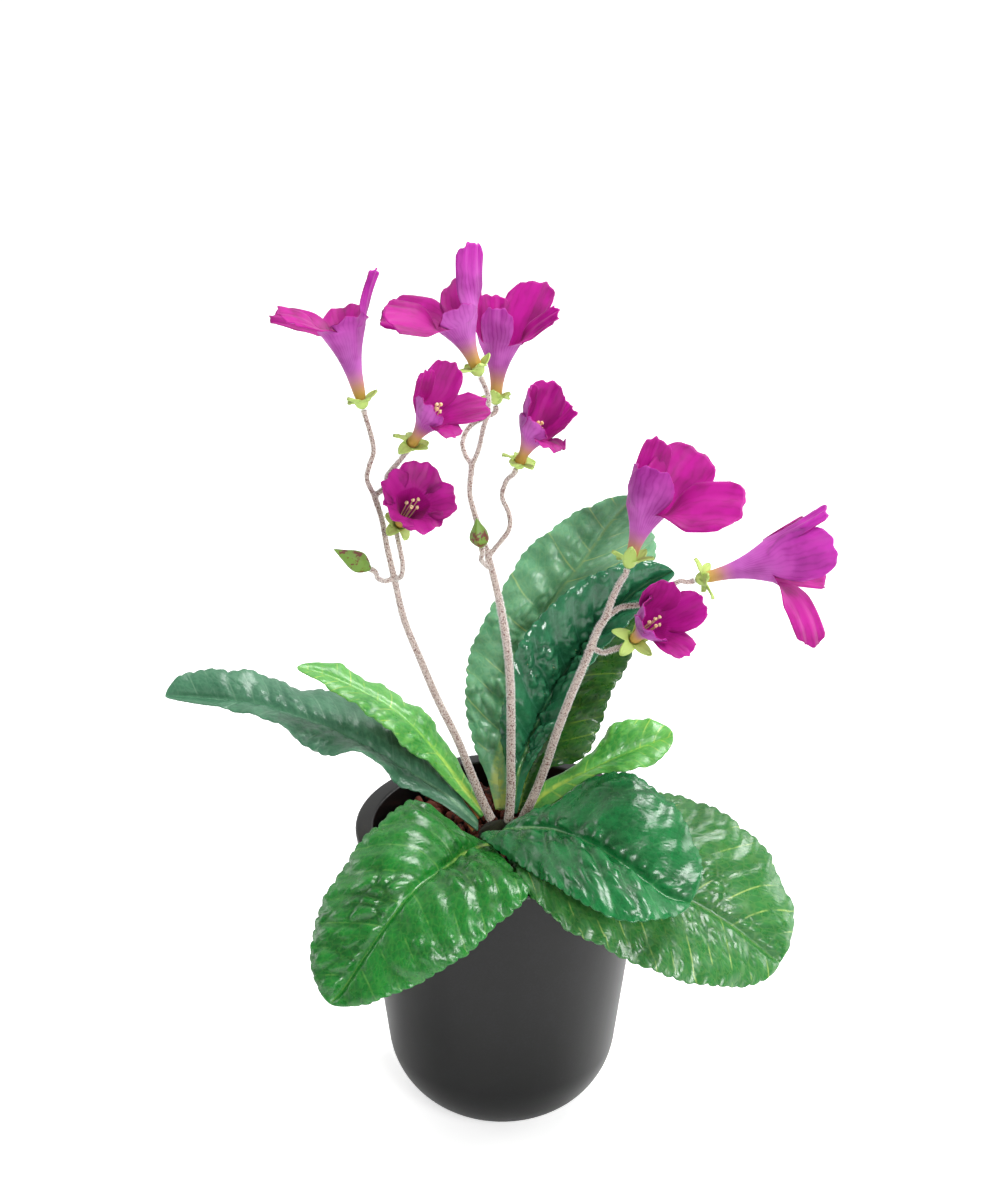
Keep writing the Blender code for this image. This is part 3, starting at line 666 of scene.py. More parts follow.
@dataclass
class Leaf:
    """One leaf: a quilted blade between two scalloped margins, with a keel under its midrib."""

    name: str
    blade: Blade
    midrib: list[Point]
    left: list[Point]
    right: list[Point]
    quilt: float = 0.8           # mm, height of the quilts between the veins
    cell: float = 5.2            # mm, size of a quilt
    wave: float = 1.5            # mm, rise and fall of the margin
    wave_length: float = 27.0    # mm
    tooth: float = 1.4           # mm, depth of the scallops
    arch: float = 0.10           # how far each half of the blade bulges, for each mm of its width
    back: Tissue = Tissue.BACK
    seed: int = 1
    pitch: float = 1.0           # mm between rows of the mesh
    tip_rows: int = 24           # rows that round off the tip
    tip_end: float = 0.97        # how far they go before the margins meet
    thickness: float = 0.55      # mm
    furrow: float = 0.7          # mm, depth of the channel over the midrib
    furrow_width: float = 1.5    # mm, half of its width
    keel: float = 2.4            # mm, how far the midrib stands out below at the leaf's base
    keel_width: float = 1.7      # mm, half of its width
    petiole: float = 1.2         # mm that the short leaf stalk adds below
    petiole_length: float = 9.0  # mm
    ribs: float = 0.35           # mm that the veins stand out below, under the grooves

    def rails(self) -> tuple[np.ndarray, np.ndarray, np.ndarray]:
        """Finds matching points along the leaf.

        Returns:
            Points on the left margin, the midrib and the right margin.
        """
        last = len(self.left) - 1
        body = even_stations(self.midrib, last, self.pitch)
        close = 1 - (1 - np.linspace(0, self.tip_end, self.tip_rows)[1:]) ** 2
        middle = route_at(self.midrib, np.concatenate([body, last + close]))
        sides = []
        for margin in (self.left, self.right):
            on = route_at(margin, body)
            spread = on - middle[:len(body)]
            width = np.linalg.norm(spread, axis=1)
            # The tip goes on as the margin arrives: sharp where it narrows fast, else round
            narrowing = (width[-2] - width[-1]) / (body[-1] - body[-2]) / width[-1]
            shrink = np.sqrt(1 - close) * (1 + (0.5 - min(narrowing, 1.4)) * close)
            sides.append(np.vstack([on, middle[len(body):] + spread[-1] * shrink[:, None]]))
        return sides[0], middle, sides[1]

    def relief(self, along: np.ndarray, side: np.ndarray) -> tuple[np.ndarray, np.ndarray]:
        """Shapes the quilting.

        Args:
            along: distance from the leaf's base, in millimetres.
            side: distance from the midrib, in millimetres, negative on the left.

        Returns:
            Height of the quilts and depth of the grooves between them, both from 0 to about 1.
        """
        spacing = self.blade.value.vein_spacing
        away = np.abs(side)
        # Bands between lateral veins, which wander a little
        sheared = (along - VEIN_SLANT * away - VEIN_CURVE * away ** 2
                   + 2.5 * waves(along, side, 13.0, self.seed + 40))
        phase = sheared / spacing + 0.5 * (side > 0)
        part = phase - np.floor(phase)
        band = smoothstep(spacing * np.minimum(part, 1 - part), 0.0, 0.28 * spacing)
        # Domes in the bands, stronger beside the midrib and in patches
        warp = waves(along, side, 9.0, self.seed)
        dome = smoothstep(cells(sheared + 3 * warp, side + 3 * warp, self.cell, self.seed), 0.0, 0.6)
        puckered = smoothstep(waves(along, side, 20.0, self.seed + 60) + 0.75 * np.exp(-(side / 13) ** 2),
                              0.05, 0.6)
        fold = 0.5 - 0.5 * np.cos(2 * math.pi * part)
        height = 0.55 * fold + band * dome * (0.06 + 0.8 * puckered)
        return height, (1 - band * dome) * (0.3 + 0.7 * puckered)

    def build(self) -> bpy.types.Object:
        """Makes the leaf and puts it on the frame.

        Returns:
            The leaf.
        """
        left, middle, right = self.rails()
        widest = max(np.linalg.norm(margin - middle, axis=1).max() for margin in (left, right))
        u = np.linspace(-1, 1, 2 * int(math.ceil(widest / (1.1 * self.pitch))) + 1)[None, :, None]
        away = np.abs(u)
        # Directions: reach goes from the midrib to a margin, lift stands on the blade
        reach = np.where(u > 0, right[:, None], left[:, None]) - middle[:, None]
        width = np.linalg.norm(reach, axis=2, keepdims=True)
        outward = reach / np.maximum(width, 1e-6)
        lift = np.cross(right - left, np.gradient(middle, axis=0))
        lift = (lift / np.linalg.norm(lift, axis=1, keepdims=True))[:, None]
        run, left_run, right_run = (run_along(line) for line in (middle, left, right))
        rim = np.where(u > 0, right_run[:, None, None], left_run[:, None, None])
        # Margin: scallops and a slow rise and fall, both small where the blade is narrow
        grown = smoothstep(width, *NARROW_TO_FULL)
        scallop = np.abs(np.sin(math.pi * rim / TOOTH_PITCH + 0.4 * np.sin(rim / 11))) ** 0.55 - 0.65
        turn = 2 * math.pi * rim / self.wave_length
        swell = np.sin(turn + self.seed + 1.7 * (u > 0)) + 0.5 * np.sin(2.3 * turn + 2.1 * self.seed)
        grid = (middle[:, None] + reach * away
                + lift * width * self.arch * 4 * away * (1 - away)
                + outward * self.tooth * grown * scallop * smoothstep(away, 0.7, 1.0)
                + lift * self.wave * grown * swell * away ** 2.4)
        along = np.broadcast_to(run[:, None], grid.shape[:2])
        side = (np.sign(u) * away * width)[..., 0]
        # Relief: none on the midrib, less at the margin and towards the tip
        height, groove = self.relief(along, side)
        fade = (smoothstep(np.abs(side), 0.4, 3.5) * grown[..., 0]
                * (1 - 0.75 * smoothstep(away[..., 0], 0.86, 1.0))
                * (1 - 0.45 * smoothstep(run / run[-1], 0.55, 0.95)[:, None]))
        trough = (self.furrow * np.exp(-(side / self.furrow_width) ** 2)
                  * smoothstep(run, 4, 20)[:, None] * grown[..., 0])
        top = grid + grid_normals(grid) * (self.quilt * height * fade - trough)[..., None]
        # Underside: thickest under the midrib and at the short leaf stalk
        foot = np.exp(-run / self.petiole_length)[:, None]
        ridge = (1 - run / run[-1])[:, None] ** 0.8 * np.exp(-(side / self.keel_width) ** 2)
        depth = self.thickness + self.keel * ridge + self.petiole * foot + self.ribs * fade * groove
        return self.close_shell(top, top - grid_normals(grid) * depth[..., None], along, side, groove * fade)

    def close_shell(self, top: np.ndarray, bottom: np.ndarray, along: np.ndarray, side: np.ndarray,
                    groove: np.ndarray) -> bpy.types.Object:
        """Joins the upper and the lower face along their border into the solid leaf.

        Args:
            top: grid of points of the upper face.
            bottom: grid of points of the lower face.
            along: distance of each point from the leaf's base, in millimetres.
            side: distance of each point from the midrib, in millimetres.
            groove: depth of the grooves. The top's material paints it as shade, and the underside's as rib
                colour.

        Returns:
            The leaf.
        """
        rows, columns = top.shape[:2]
        count = rows * columns
        upper = np.array(grid_faces(rows, columns))
        index = np.arange(count).reshape(rows, columns)
        border = np.concatenate([index[0], index[1:, -1], index[-1, -2::-1], index[-2:0:-1, 0]])
        onward = np.roll(border, -1)
        rim = np.stack([onward, border, border + count, onward + count], axis=1)
        faces = np.vstack([upper, upper[:, ::-1] + count, rim])
        uv = np.stack([along, side], -1).reshape(-1, 2) * UV_SCALE
        piece = mesh_piece(f"{self.name}_blade", np.vstack([top.reshape(-1, 3), bottom.reshape(-1, 3)]),
                           faces.tolist(), [dressed(self.blade), dressed(self.back)],
                           np.vstack([uv, uv])[faces.ravel()])
        slots = np.concatenate([np.zeros(len(upper), int), np.ones(len(upper), int), np.zeros(len(rim), int)])
        piece.data.polygons.foreach_set("material_index", slots)
        depth = piece.data.attributes.new("groove", "FLOAT", "POINT")
        depth.data.foreach_set("value", np.tile(groove.ravel(), 2))
        declare(piece, "young_leaf" if self.blade is Blade.YOUNG else "leaf", self.name)
        return piece


LEAVES = [
    Leaf("leaf_front_left", Blade.QUILTED,
         midrib=[(-6, -11, 143), (-16, -27, 148), (-25, -46, 152), (-38, -63, 151), (-51, -74, 139),
                 (-62, -80, 124), (-69, -84, 114), (-75, -87, 107)],
         left=[(-4, -12, 142), (2, -38, 148.5), (11, -69, 152.5), (-1, -78, 143), (-17, -88, 132),
               (-38, -92, 120), (-56, -93, 112)],
         right=[(-8, -10, 144), (-24, -16, 157), (-38, -17, 169.5), (-57, -34, 165), (-72, -46, 149),
                (-82, -60, 134), (-84, -74, 120)],
         quilt=2.0, cell=8.5, wave=0.9, seed=1, pitch=0.85),
    Leaf("leaf_front_right_upper", Blade.DARK,
         midrib=[(-2, -11.5, 148), (2, -17, 154), (19, -34, 165), (34, -50, 169), (48, -62, 167),
                 (61, -71, 161), (71, -77, 156), (81, -80, 154)],
         left=[(1, -11.5, 149), (5, -13, 157), (21, -21, 169), (35, -19, 178), (53, -28, 190),
               (75, -43, 182), (86, -57, 166)],
         right=[(-4, -12.5, 148), (-9, -19, 151), (12, -55, 155), (27, -80, 160), (42, -93, 157),
                (58, -98, 156), (72, -91, 154)],
         quilt=1.7, cell=9.0, wave=0.8, seed=2, pitch=0.85),
    Leaf("leaf_front_right_lower", Blade.BROAD,
         midrib=[(3, -12, 141), (19, -28, 149), (38, -44, 153), (60, -52, 150), (83, -56, 141),
                 (102, -60, 130), (114, -63, 121), (123, -65, 114)],
         left=[(5, -11, 142), (25, -16, 153), (48, -14, 161), (74, -16, 172), (100, -24, 166),
               (119, -32, 151), (130, -42, 129)],
         right=[(1, -13, 140), (10, -62, 150.7), (26, -78, 142), (48, -83, 131), (69, -86, 122),
                (89, -86, 116), (107, -79, 111)],
         quilt=1.1, cell=6.5, wave=1.2, seed=3, pitch=0.9),
    Leaf("leaf_left_long", Blade.GREY,
         midrib=[(-11, -2, 148), (-24, 4, 159), (-39, 12, 166), (-60, 20, 175), (-79, 27, 183),
                 (-97, 33, 187), (-115, 38, 190), (-133, 41, 191), (-158, 43, 192)],
         left=[(-11, -5, 147), (-28, 0, 158), (-44, 0, 167), (-61, 3, 181), (-83, 8, 181),
               (-98, 15, 187), (-116, 24, 193), (-135, 32, 192)],
         right=[(-11, 1, 149), (-22, 12, 160), (-34, 30, 172), (-52, 42, 184), (-74, 51, 187),
                (-96, 53, 192), (-111, 56, 195), (-131, 52, 202)],
         quilt=0.6, cell=4.6, wave=1.6, wave_length=41, back=Tissue.BACK_RUSTY, seed=4),
    Leaf("leaf_left_short", Blade.YOUNG,
         midrib=[(-8, 5, 150), (-19, 9, 163), (-28, 13, 175), (-40, 17, 189), (-52, 21, 198),
                 (-64, 24, 204), (-78, 26, 210), (-94, 27, 215)],
         left=[(-9, 2, 150.3), (-22, 5, 163), (-33, 5, 176), (-45, 5, 186), (-59, 9, 199),
               (-72, 14, 205), (-81, 18, 211)],
         right=[(-7, 8, 150), (-16, 13, 164), (-23, 20, 174), (-34, 27, 189), (-46, 33, 196),
                (-60, 35, 203), (-73, 35, 211)],
         quilt=0.45, cell=4.2, wave=1.2, wave_length=24, tooth=1.0, back=Tissue.BACK_RUSTY, seed=5),
    Leaf("leaf_back_tall", Blade.TALL,
         midrib=[(0, 9, 150), (-2, 18, 163), (0, 28, 176), (4, 38, 192), (11, 49, 213),
                 (23, 57, 233), (38, 63, 252), (49, 66, 268), (61, 67, 283)],
         left=[(-3, 9, 150), (-7, 18, 162), (-14, 28, 177), (-17, 39, 196), (-14, 49, 214),
               (-4, 57, 233), (13, 66, 258), (33, 69, 273)],
         right=[(3, 9, 150), (3, 20, 164), (13, 35, 178), (26, 47, 195), (43, 62, 213),
                (57, 66, 228), (72, 75, 249), (70, 75, 265)],
         quilt=1.3, cell=7.0, wave=1.2, seed=6),
    Leaf("leaf_back_folded", Blade.FOLDED,
         midrib=[(5, 4, 151), (7, 8, 167), (13, 15, 183), (20, 21, 198), (28, 26, 211),
                 (38, 30, 224), (49, 33, 238), (63, 35, 251), (78, 36, 259)],
         left=[(3, 4, 151), (2, 9, 172), (-1, 9, 193), (2, 12, 209), (7, 19, 228),
               (18, 23, 243), (35, 28, 257), (54, 33, 264)],
         right=[(7, 3, 151), (11, 6, 168), (18, 4, 185), (28, 9, 201), (37, 12, 218),
                (47, 16, 231), (59, 22, 242), (69, 27, 252)],
         quilt=2.3, cell=5.0, wave=1.2, seed=7),
    Leaf("leaf_back_right", Blade.SHADED,
         midrib=[(7, 7, 150), (13, 18, 169), (18, 26, 180), (24, 33, 192), (33, 39, 205),
                 (45, 44, 218), (56, 47, 227), (67, 49, 235)],
         left=[(5, 8, 150), (9, 18, 171), (10, 26, 183), (15, 34, 198), (23, 41, 213),
               (35, 46, 226), (48, 49, 235)],
         right=[(9, 6, 150), (20, 13, 168), (38, 12, 176), (45, 20, 188), (51, 26, 203),
                (58, 31, 215), (64, 40, 226)],
         quilt=0.6, cell=4.8, seed=8),
    Leaf("leaf_right_small", Blade.YOUNG,
         midrib=[(10, 2, 150.5), (20, 6, 160), (30, 9, 165), (42, 12, 170), (54, 15, 175),
                 (67, 17, 180), (74, 18, 182), (79, 18, 184)],
         left=[(9, 4, 150.5), (18, 11, 162), (29, 15, 167), (41, 21, 173), (51, 27, 184),
               (65, 28, 188), (75, 25, 186)],
         right=[(11.5, 0, 150.5), (20, -1, 156), (32, 3, 164), (45, 4, 172), (57, 0, 175),
                (70, 5, 177), (76, 11, 179)],
         quilt=0.4, cell=4.0, wave=1.0, wave_length=22, tooth=0.7, seed=9),
]


# ---------------------------------------------------------------- flowers

@dataclass(frozen=True)
class Lobe:
    """One lobe of a corolla or one sepal."""

    length: float
    width: float                 # half of its greatest width
    root: float                  # degrees from the tube's axis where it leaves the tube
    end: float                   # degrees from the tube's axis at its tip
    swing: float = 0.0           # degrees that it bends sideways
    twist: float = 0.0           # degrees that it turns about its own length


@dataclass
class Trumpet:
    """A tube whose mouth divides into five lobes: the shape of both calyx and corolla."""

    foot: np.ndarray
    mouth: np.ndarray
    up: Point                    # the side of the first lobe
    radii: tuple[float, ...]     # mm, at even steps from foot to mouth
    lobes: list[Lobe]
    rings: int = 34              # rings of the tube's mesh
    fine: int = 18               # columns to a lobe
    rows: int = 24               # rows to a lobe
    pointed: bool = False        # whether the lobes are sepals
    ruffle: float = 0.0          # mm, waves in the lobes
    flute: float = 0.0           # how much the mouth widens at each lobe, as a share of its radius
    turned_by: float = 0.45      # share of a lobe's length by which its twist is complete
    full_by: float = 0.5         # and by which it has its full width
    seed: int = 0
    points: list[np.ndarray] = field(default_factory=list)
    faces: list[tuple[int, ...]] = field(default_factory=list)
    uvs: list[tuple[float, float]] = field(default_factory=list)

    def directions(self) -> tuple[np.ndarray, np.ndarray, np.ndarray]:
        """The tube's axis, and its upward and sideways directions."""
        axis = unit(self.mouth - self.foot)
        side = unit(np.cross(axis, self.up))
        return axis, np.cross(side, axis), side

    def make_tube(self) -> float:
        """Adds the tube's rings.

        Returns:
            The tube's length in millimetres.
        """
        around = LOBES * self.fine
        stations = np.linspace(0, len(self.radii) - 1, self.rings)
        profile = route_at([(r, 0, 0) for r in self.radii], stations)[:, 0]
        length = float(np.linalg.norm(self.mouth - self.foot))
        _, upward, side = self.directions()
        for ring, v in enumerate(np.linspace(0, 1, self.rings)):
            centre = self.foot + (self.mouth - self.foot) * v
            for k in range(around):
                angle = SECTOR * (2 * k / self.fine - 1)
                radius = profile[ring] * (1 + self.flute * v * math.cos(LOBES * angle))
                self.points.append(centre + radius * (math.cos(angle) * upward + math.sin(angle) * side))
        self.faces.extend(grid_faces(self.rings, around, closed=True))
        for r in range(self.rings - 1):
            for k in range(around):
                for column, row in ((k, r), (k + 1, r), (k + 1, r + 1), (k, r + 1)):
                    self.uvs.append((column / self.fine, row / (self.rings - 1) * length * UV_SCALE))
        return length

    def make_lobe(self, k: int, lobe: Lobe, start: float) -> None:
        """Adds one lobe, whose first row is the tube's last ring.

        Args:
            k: the lobe's number, from the up side.
            lobe: its sizes.
            start: distance of its root from the tube's foot, in millimetres.
        """
        axis, upward, side = self.directions()
        radius = self.radii[-1] * (1 + self.flute)
        angle = 2 * SECTOR * k
        outward = math.cos(angle) * upward + math.sin(angle) * side
        tangent = -math.sin(angle) * upward + math.cos(angle) * side
        around = LOBES * self.fine
        rim = (self.rings - 1) * around
        below = [rim + (k * self.fine + c) % around for c in range(self.fine + 1)]
        spot = self.mouth + radius * outward
        step = lobe.length / self.rows
        reach = radius
        for q in range(1, self.rows + 1):
            t = q / self.rows
            # The middle line flares outward, swings sideways and twists as it goes
            flare = math.radians(lobe.root + (lobe.end - lobe.root) * t ** 0.8)
            swing = math.radians(lobe.swing * t)
            twist = math.radians(lobe.twist * math.sin(math.pi / 2 * min(t / self.turned_by, 1)))
            abroad = math.cos(swing) * outward + math.sin(swing) * tangent
            heading = math.cos(flare) * axis + math.sin(flare) * abroad
            front = math.sin(flare) * axis - math.cos(flare) * abroad
            across = np.cross(front, heading)
            across, front = (math.cos(twist) * across + math.sin(twist) * front,
                             -math.sin(twist) * across + math.cos(twist) * front)
            spot = spot + step * heading
            reach += step * math.sin(flare)
            # Across, it starts as round as the tube and flattens over its first third
            blend = min(3 * t, 1)
            inward = unit(-outward + (front + outward) * blend)
            curve = (1 + (max(math.cos(flare), 0) - 1) * blend) / (2 * max(reach, radius))
            row = []
            for c in range(self.fine + 1):
                s = 2 * c / self.fine - 1
                width, back = self.outline(lobe, t, s, radius * math.sin(SECTOR), k)
                row.append(len(self.points))
                self.points.append(spot + across * width * math.sin(SECTOR * s) / math.sin(SECTOR)
                                   + inward * curve * (width * s) ** 2
                                   + front * self.ripple(t, s, k) - heading * back)
            for c in range(self.fine):
                self.faces.append((below[c], below[c + 1], row[c + 1], row[c]))
                for column, length in ((c, q - 1), (c + 1, q - 1), (c + 1, q), (c, q)):
                    self.uvs.append((k + column / self.fine, (start + step * length) * UV_SCALE))
            below = row

    def outline(self, lobe: Lobe, t: float, s: float, chord: float, k: int) -> tuple[float, float]:
        """Gives the lobe its outline.

        Args:
            lobe: its sizes.
            t: place along it, from 0 to 1.
            s: place across it, from -1 to 1.
            chord: half of its width at its root, in millimetres.
            k: the lobe's number.

        Returns:
            Half of its width there, and how far the point is drawn back, in millimetres.
        """
        if self.pointed:
            return lobe.width * (1 - t) ** 0.75 * (1 + 0.9 * t) + 0.15, 0.0
        width = chord + (lobe.width - chord) * math.sin(math.pi / 2 * min(t / self.full_by, 1))
        rounded = 0.85 * lobe.width * (1 - math.sqrt(1 - 0.99 * s * s))
        notches = 0.5 * math.sin(6.5 * s + 1.9 * k) + 0.4 * math.sin(13 * s + self.seed + k)
        return width, rounded * t * t + notches * t ** 5

    def ripple(self, t: float, s: float, k: int) -> float:
        """Waves a lobe's surface, most at its edge.

        Args:
            t: place along it, from 0 to 1.
            s: place across it, from -1 to 1.
            k: the lobe's number.

        Returns:
            How far the point stands out of the lobe's own curve, in millimetres.
        """
        broad = math.sin(2.6 * math.pi * s + 2.3 * k + self.seed)
        fine = math.sin(6.1 * math.pi * s + 1.1 * k + 3 * t) * abs(s)
        return self.ruffle * (t ** 1.6 * broad + 0.5 * t ** 2 * fine)

    def build(self, name: str, materials: list[bpy.types.Material], thickness: float) -> bpy.types.Object:
        """Makes the piece.

        Args:
            name: its name.
            materials: the first is outside, the last inside.
            thickness: in millimetres.

        Returns:
            The piece.
        """
        length = self.make_tube()
        for k, lobe in enumerate(self.lobes):
            self.make_lobe(k, lobe, length)
        piece = mesh_piece(name, np.array(self.points), self.faces, materials, np.array(self.uvs))
        thicken(piece, thickness, inside=len(materials) - 1)
        settle(piece)
        return piece


@dataclass
class Flower:
    """Calyx on its pedicel's end, corolla in the calyx, stamens in the corolla's tube."""

    number: int
    seat: Point                  # end of its pedicel
    throat: Point                # centre of the tube's mouth
    up: Point                    # the side of the first lobe
    mouth: float                 # mm, radius of the tube's mouth
    lobes: list[Lobe]
    sepal: float = 7.0           # mm, length of its sepals
    anthers: float = 0.0         # mm that the anthers stand beyond the throat
    ruffle: float = 0.7          # mm, waves in the petals
    petal: float = 0.35          # mm, thickness of the petals
    filament: float = 0.28       # mm, radius
    anther: float = 0.6          # mm that an anther adds to it

    def build(self) -> None:
        """Makes the flower's three pieces."""
        seat, throat = np.array(self.seat, float), np.array(self.throat, float)
        axis = unit(throat - seat)
        name = f"flower_{self.number}"
        chooser = np.random.default_rng(40 + self.number)
        sizes = chooser.uniform(0.7, 1.15, LOBES)
        leans = chooser.uniform(0, 75, LOBES)
        turns = chooser.uniform(-30, 30, LOBES)
        sepals = [Lobe(self.sepal * size, 2.7, 12 + lean, 40 + 1.2 * lean, swing=turn, twist=turn)
                  for size, lean, turn in zip(sizes, leans, turns)]
        calyx = Trumpet(seat + axis * 0.6, seat + axis * 3.6, self.up, (0.5, 1.8, 2.4, 2.7, 3.0), sepals,
                        rings=8, fine=8, rows=12, pointed=True, ruffle=0.6, seed=self.number)
        declare(calyx.build(f"{name}_sepals", [dressed(Finish.CALYX)], 0.5), "calyx", f"{name}_calyx")
        radii = (1.3, 2.3, *(share * self.mouth for share in (0.30, 0.36, 0.46, 0.60, 0.79, 1.0)))
        corolla = Trumpet(seat + axis * 2.2, throat, self.up, radii, self.lobes,
                          ruffle=self.ruffle, flute=0.05, seed=self.number)
        tissues = [dressed(Tissue.OUTER), dressed(Tissue.INNER)]
        declare(corolla.build(f"{name}_petals", tissues, self.petal), "corolla", f"{name}_corolla")
        self.build_stamens(name, seat + axis * 2.8, throat, axis)

    def build_stamens(self, name: str, foot: np.ndarray, throat: np.ndarray, axis: np.ndarray) -> None:
        """Makes four filaments with their anthers, and the style between them.

        Args:
            name: the flower's name.
            foot: where they start, in the calyx.
            throat: centre of the tube's mouth.
            axis: from foot to throat, at length one.
        """
        side = unit(np.cross(axis, self.up))
        upward = np.cross(side, axis)
        points, faces = [], []
        ends = np.linspace(0, 3, 22)
        # A thread that swells into the anther over the last third of its route
        swell = smoothstep(ends, 2.0, 2.35) * (1 - 0.75 * smoothstep(ends, 2.65, 3.0))
        radii = self.filament + self.anther * swell
        for k in range(5):
            angle = 2 * SECTOR * k + 0.5
            spread = (0.32 if k else 0.1) * self.mouth
            away = math.cos(angle) * upward + math.sin(angle) * side
            tip = throat + axis * (self.anthers - 1.5 * (k % 2)) + away * spread
            root = foot + away * 0.45
            route = [root, root + (tip - root) * 0.5 + away * 0.4, tip, tip + axis * 1.4 + away * 0.5]
            add_tube(points, faces, route_at(route, ends), radii, 8)
        piece = mesh_piece(f"{name}_anthers", np.array(points), faces, [dressed(Finish.STAMEN)])
        declare(piece, "stamens", f"{name}_stamens")


def add_tube(points: list[np.ndarray], faces: list[tuple[int, ...]], path: np.ndarray,
             radii: np.ndarray, sides: int) -> None:
    """Adds a closed round tube to a mesh that is being gathered.

    Args:
        points: the mesh's points so far.
        faces: the mesh's faces so far.
        path: the tube's middle line.
        radii: its radius at each point of the path.
        sides: how many flats it has.
    """
    start = len(points)
    tangents = np.gradient(path, axis=0)
    side = unit(np.cross(tangents[0], (0.3, 0.2, 1.0)))
    for place, tangent, radius in zip(path, tangents, radii):
        side = unit(side - unit(tangent) * np.dot(side, unit(tangent)))
        other = np.cross(unit(tangent), side)
        for k in range(sides):
            angle = 2 * math.pi * k / sides
            points.append(place + radius * (math.cos(angle) * side + math.sin(angle) * other))
    faces.extend(tuple(start + i for i in face) for face in capped_faces(len(path), sides))


@dataclass
class Bud:
    """A closed bud: five folded sepals that meet in a point."""

    name: str
    seat: Point                  # end of its pedicel
    tip: Point
    radius: float                # mm, at its thickest
    steps: int = 40              # points round it
    swell: tuple[float, ...] = (0.25, 0.72, 1.0, 0.96, 0.76, 0.52, 0.28, 0.05)
    furrow: float = 0.16         # depth between two sepals, as a share of the radius

    def build(self) -> bpy.types.Object:
        """Makes the bud and puts it on the frame.

        Returns:
            The bud.
        """
        seat, tip = np.array(self.seat, float), np.array(self.tip, float)
        axis = unit(tip - seat)
        seat = seat + axis * 0.3
        side = unit(np.cross(axis, (0.2, 0.1, 1.0)))
        other = np.cross(axis, side)
        heights = np.linspace(0, 1, 34)
        swell = route_at([(r, 0, 0) for r in self.swell], heights * (len(self.swell) - 1))[:, 0]
        points = []
        for v, radius in zip(heights, swell):
            for k in range(self.steps):
                angle = 2 * math.pi * k / self.steps
                sunk = abs(math.sin(LOBES * angle / 2 + 0.7 * v)) ** 0.6
                ridge = 1 - self.furrow * sunk * math.sin(math.pi * v) ** 0.5
                out = math.cos(angle) * side + math.sin(angle) * other
                points.append(seat + axis * v * np.linalg.norm(tip - seat)
                              + out * radius * ridge * self.radius)
        faces = capped_faces(len(heights), self.steps)
        piece = mesh_piece(f"{self.name}_sepals", np.array(points), faces, [dressed(Finish.BUD)])
        declare(piece, "bud", self.name)
        return piece


# ---------------------------------------------------------------- stalks

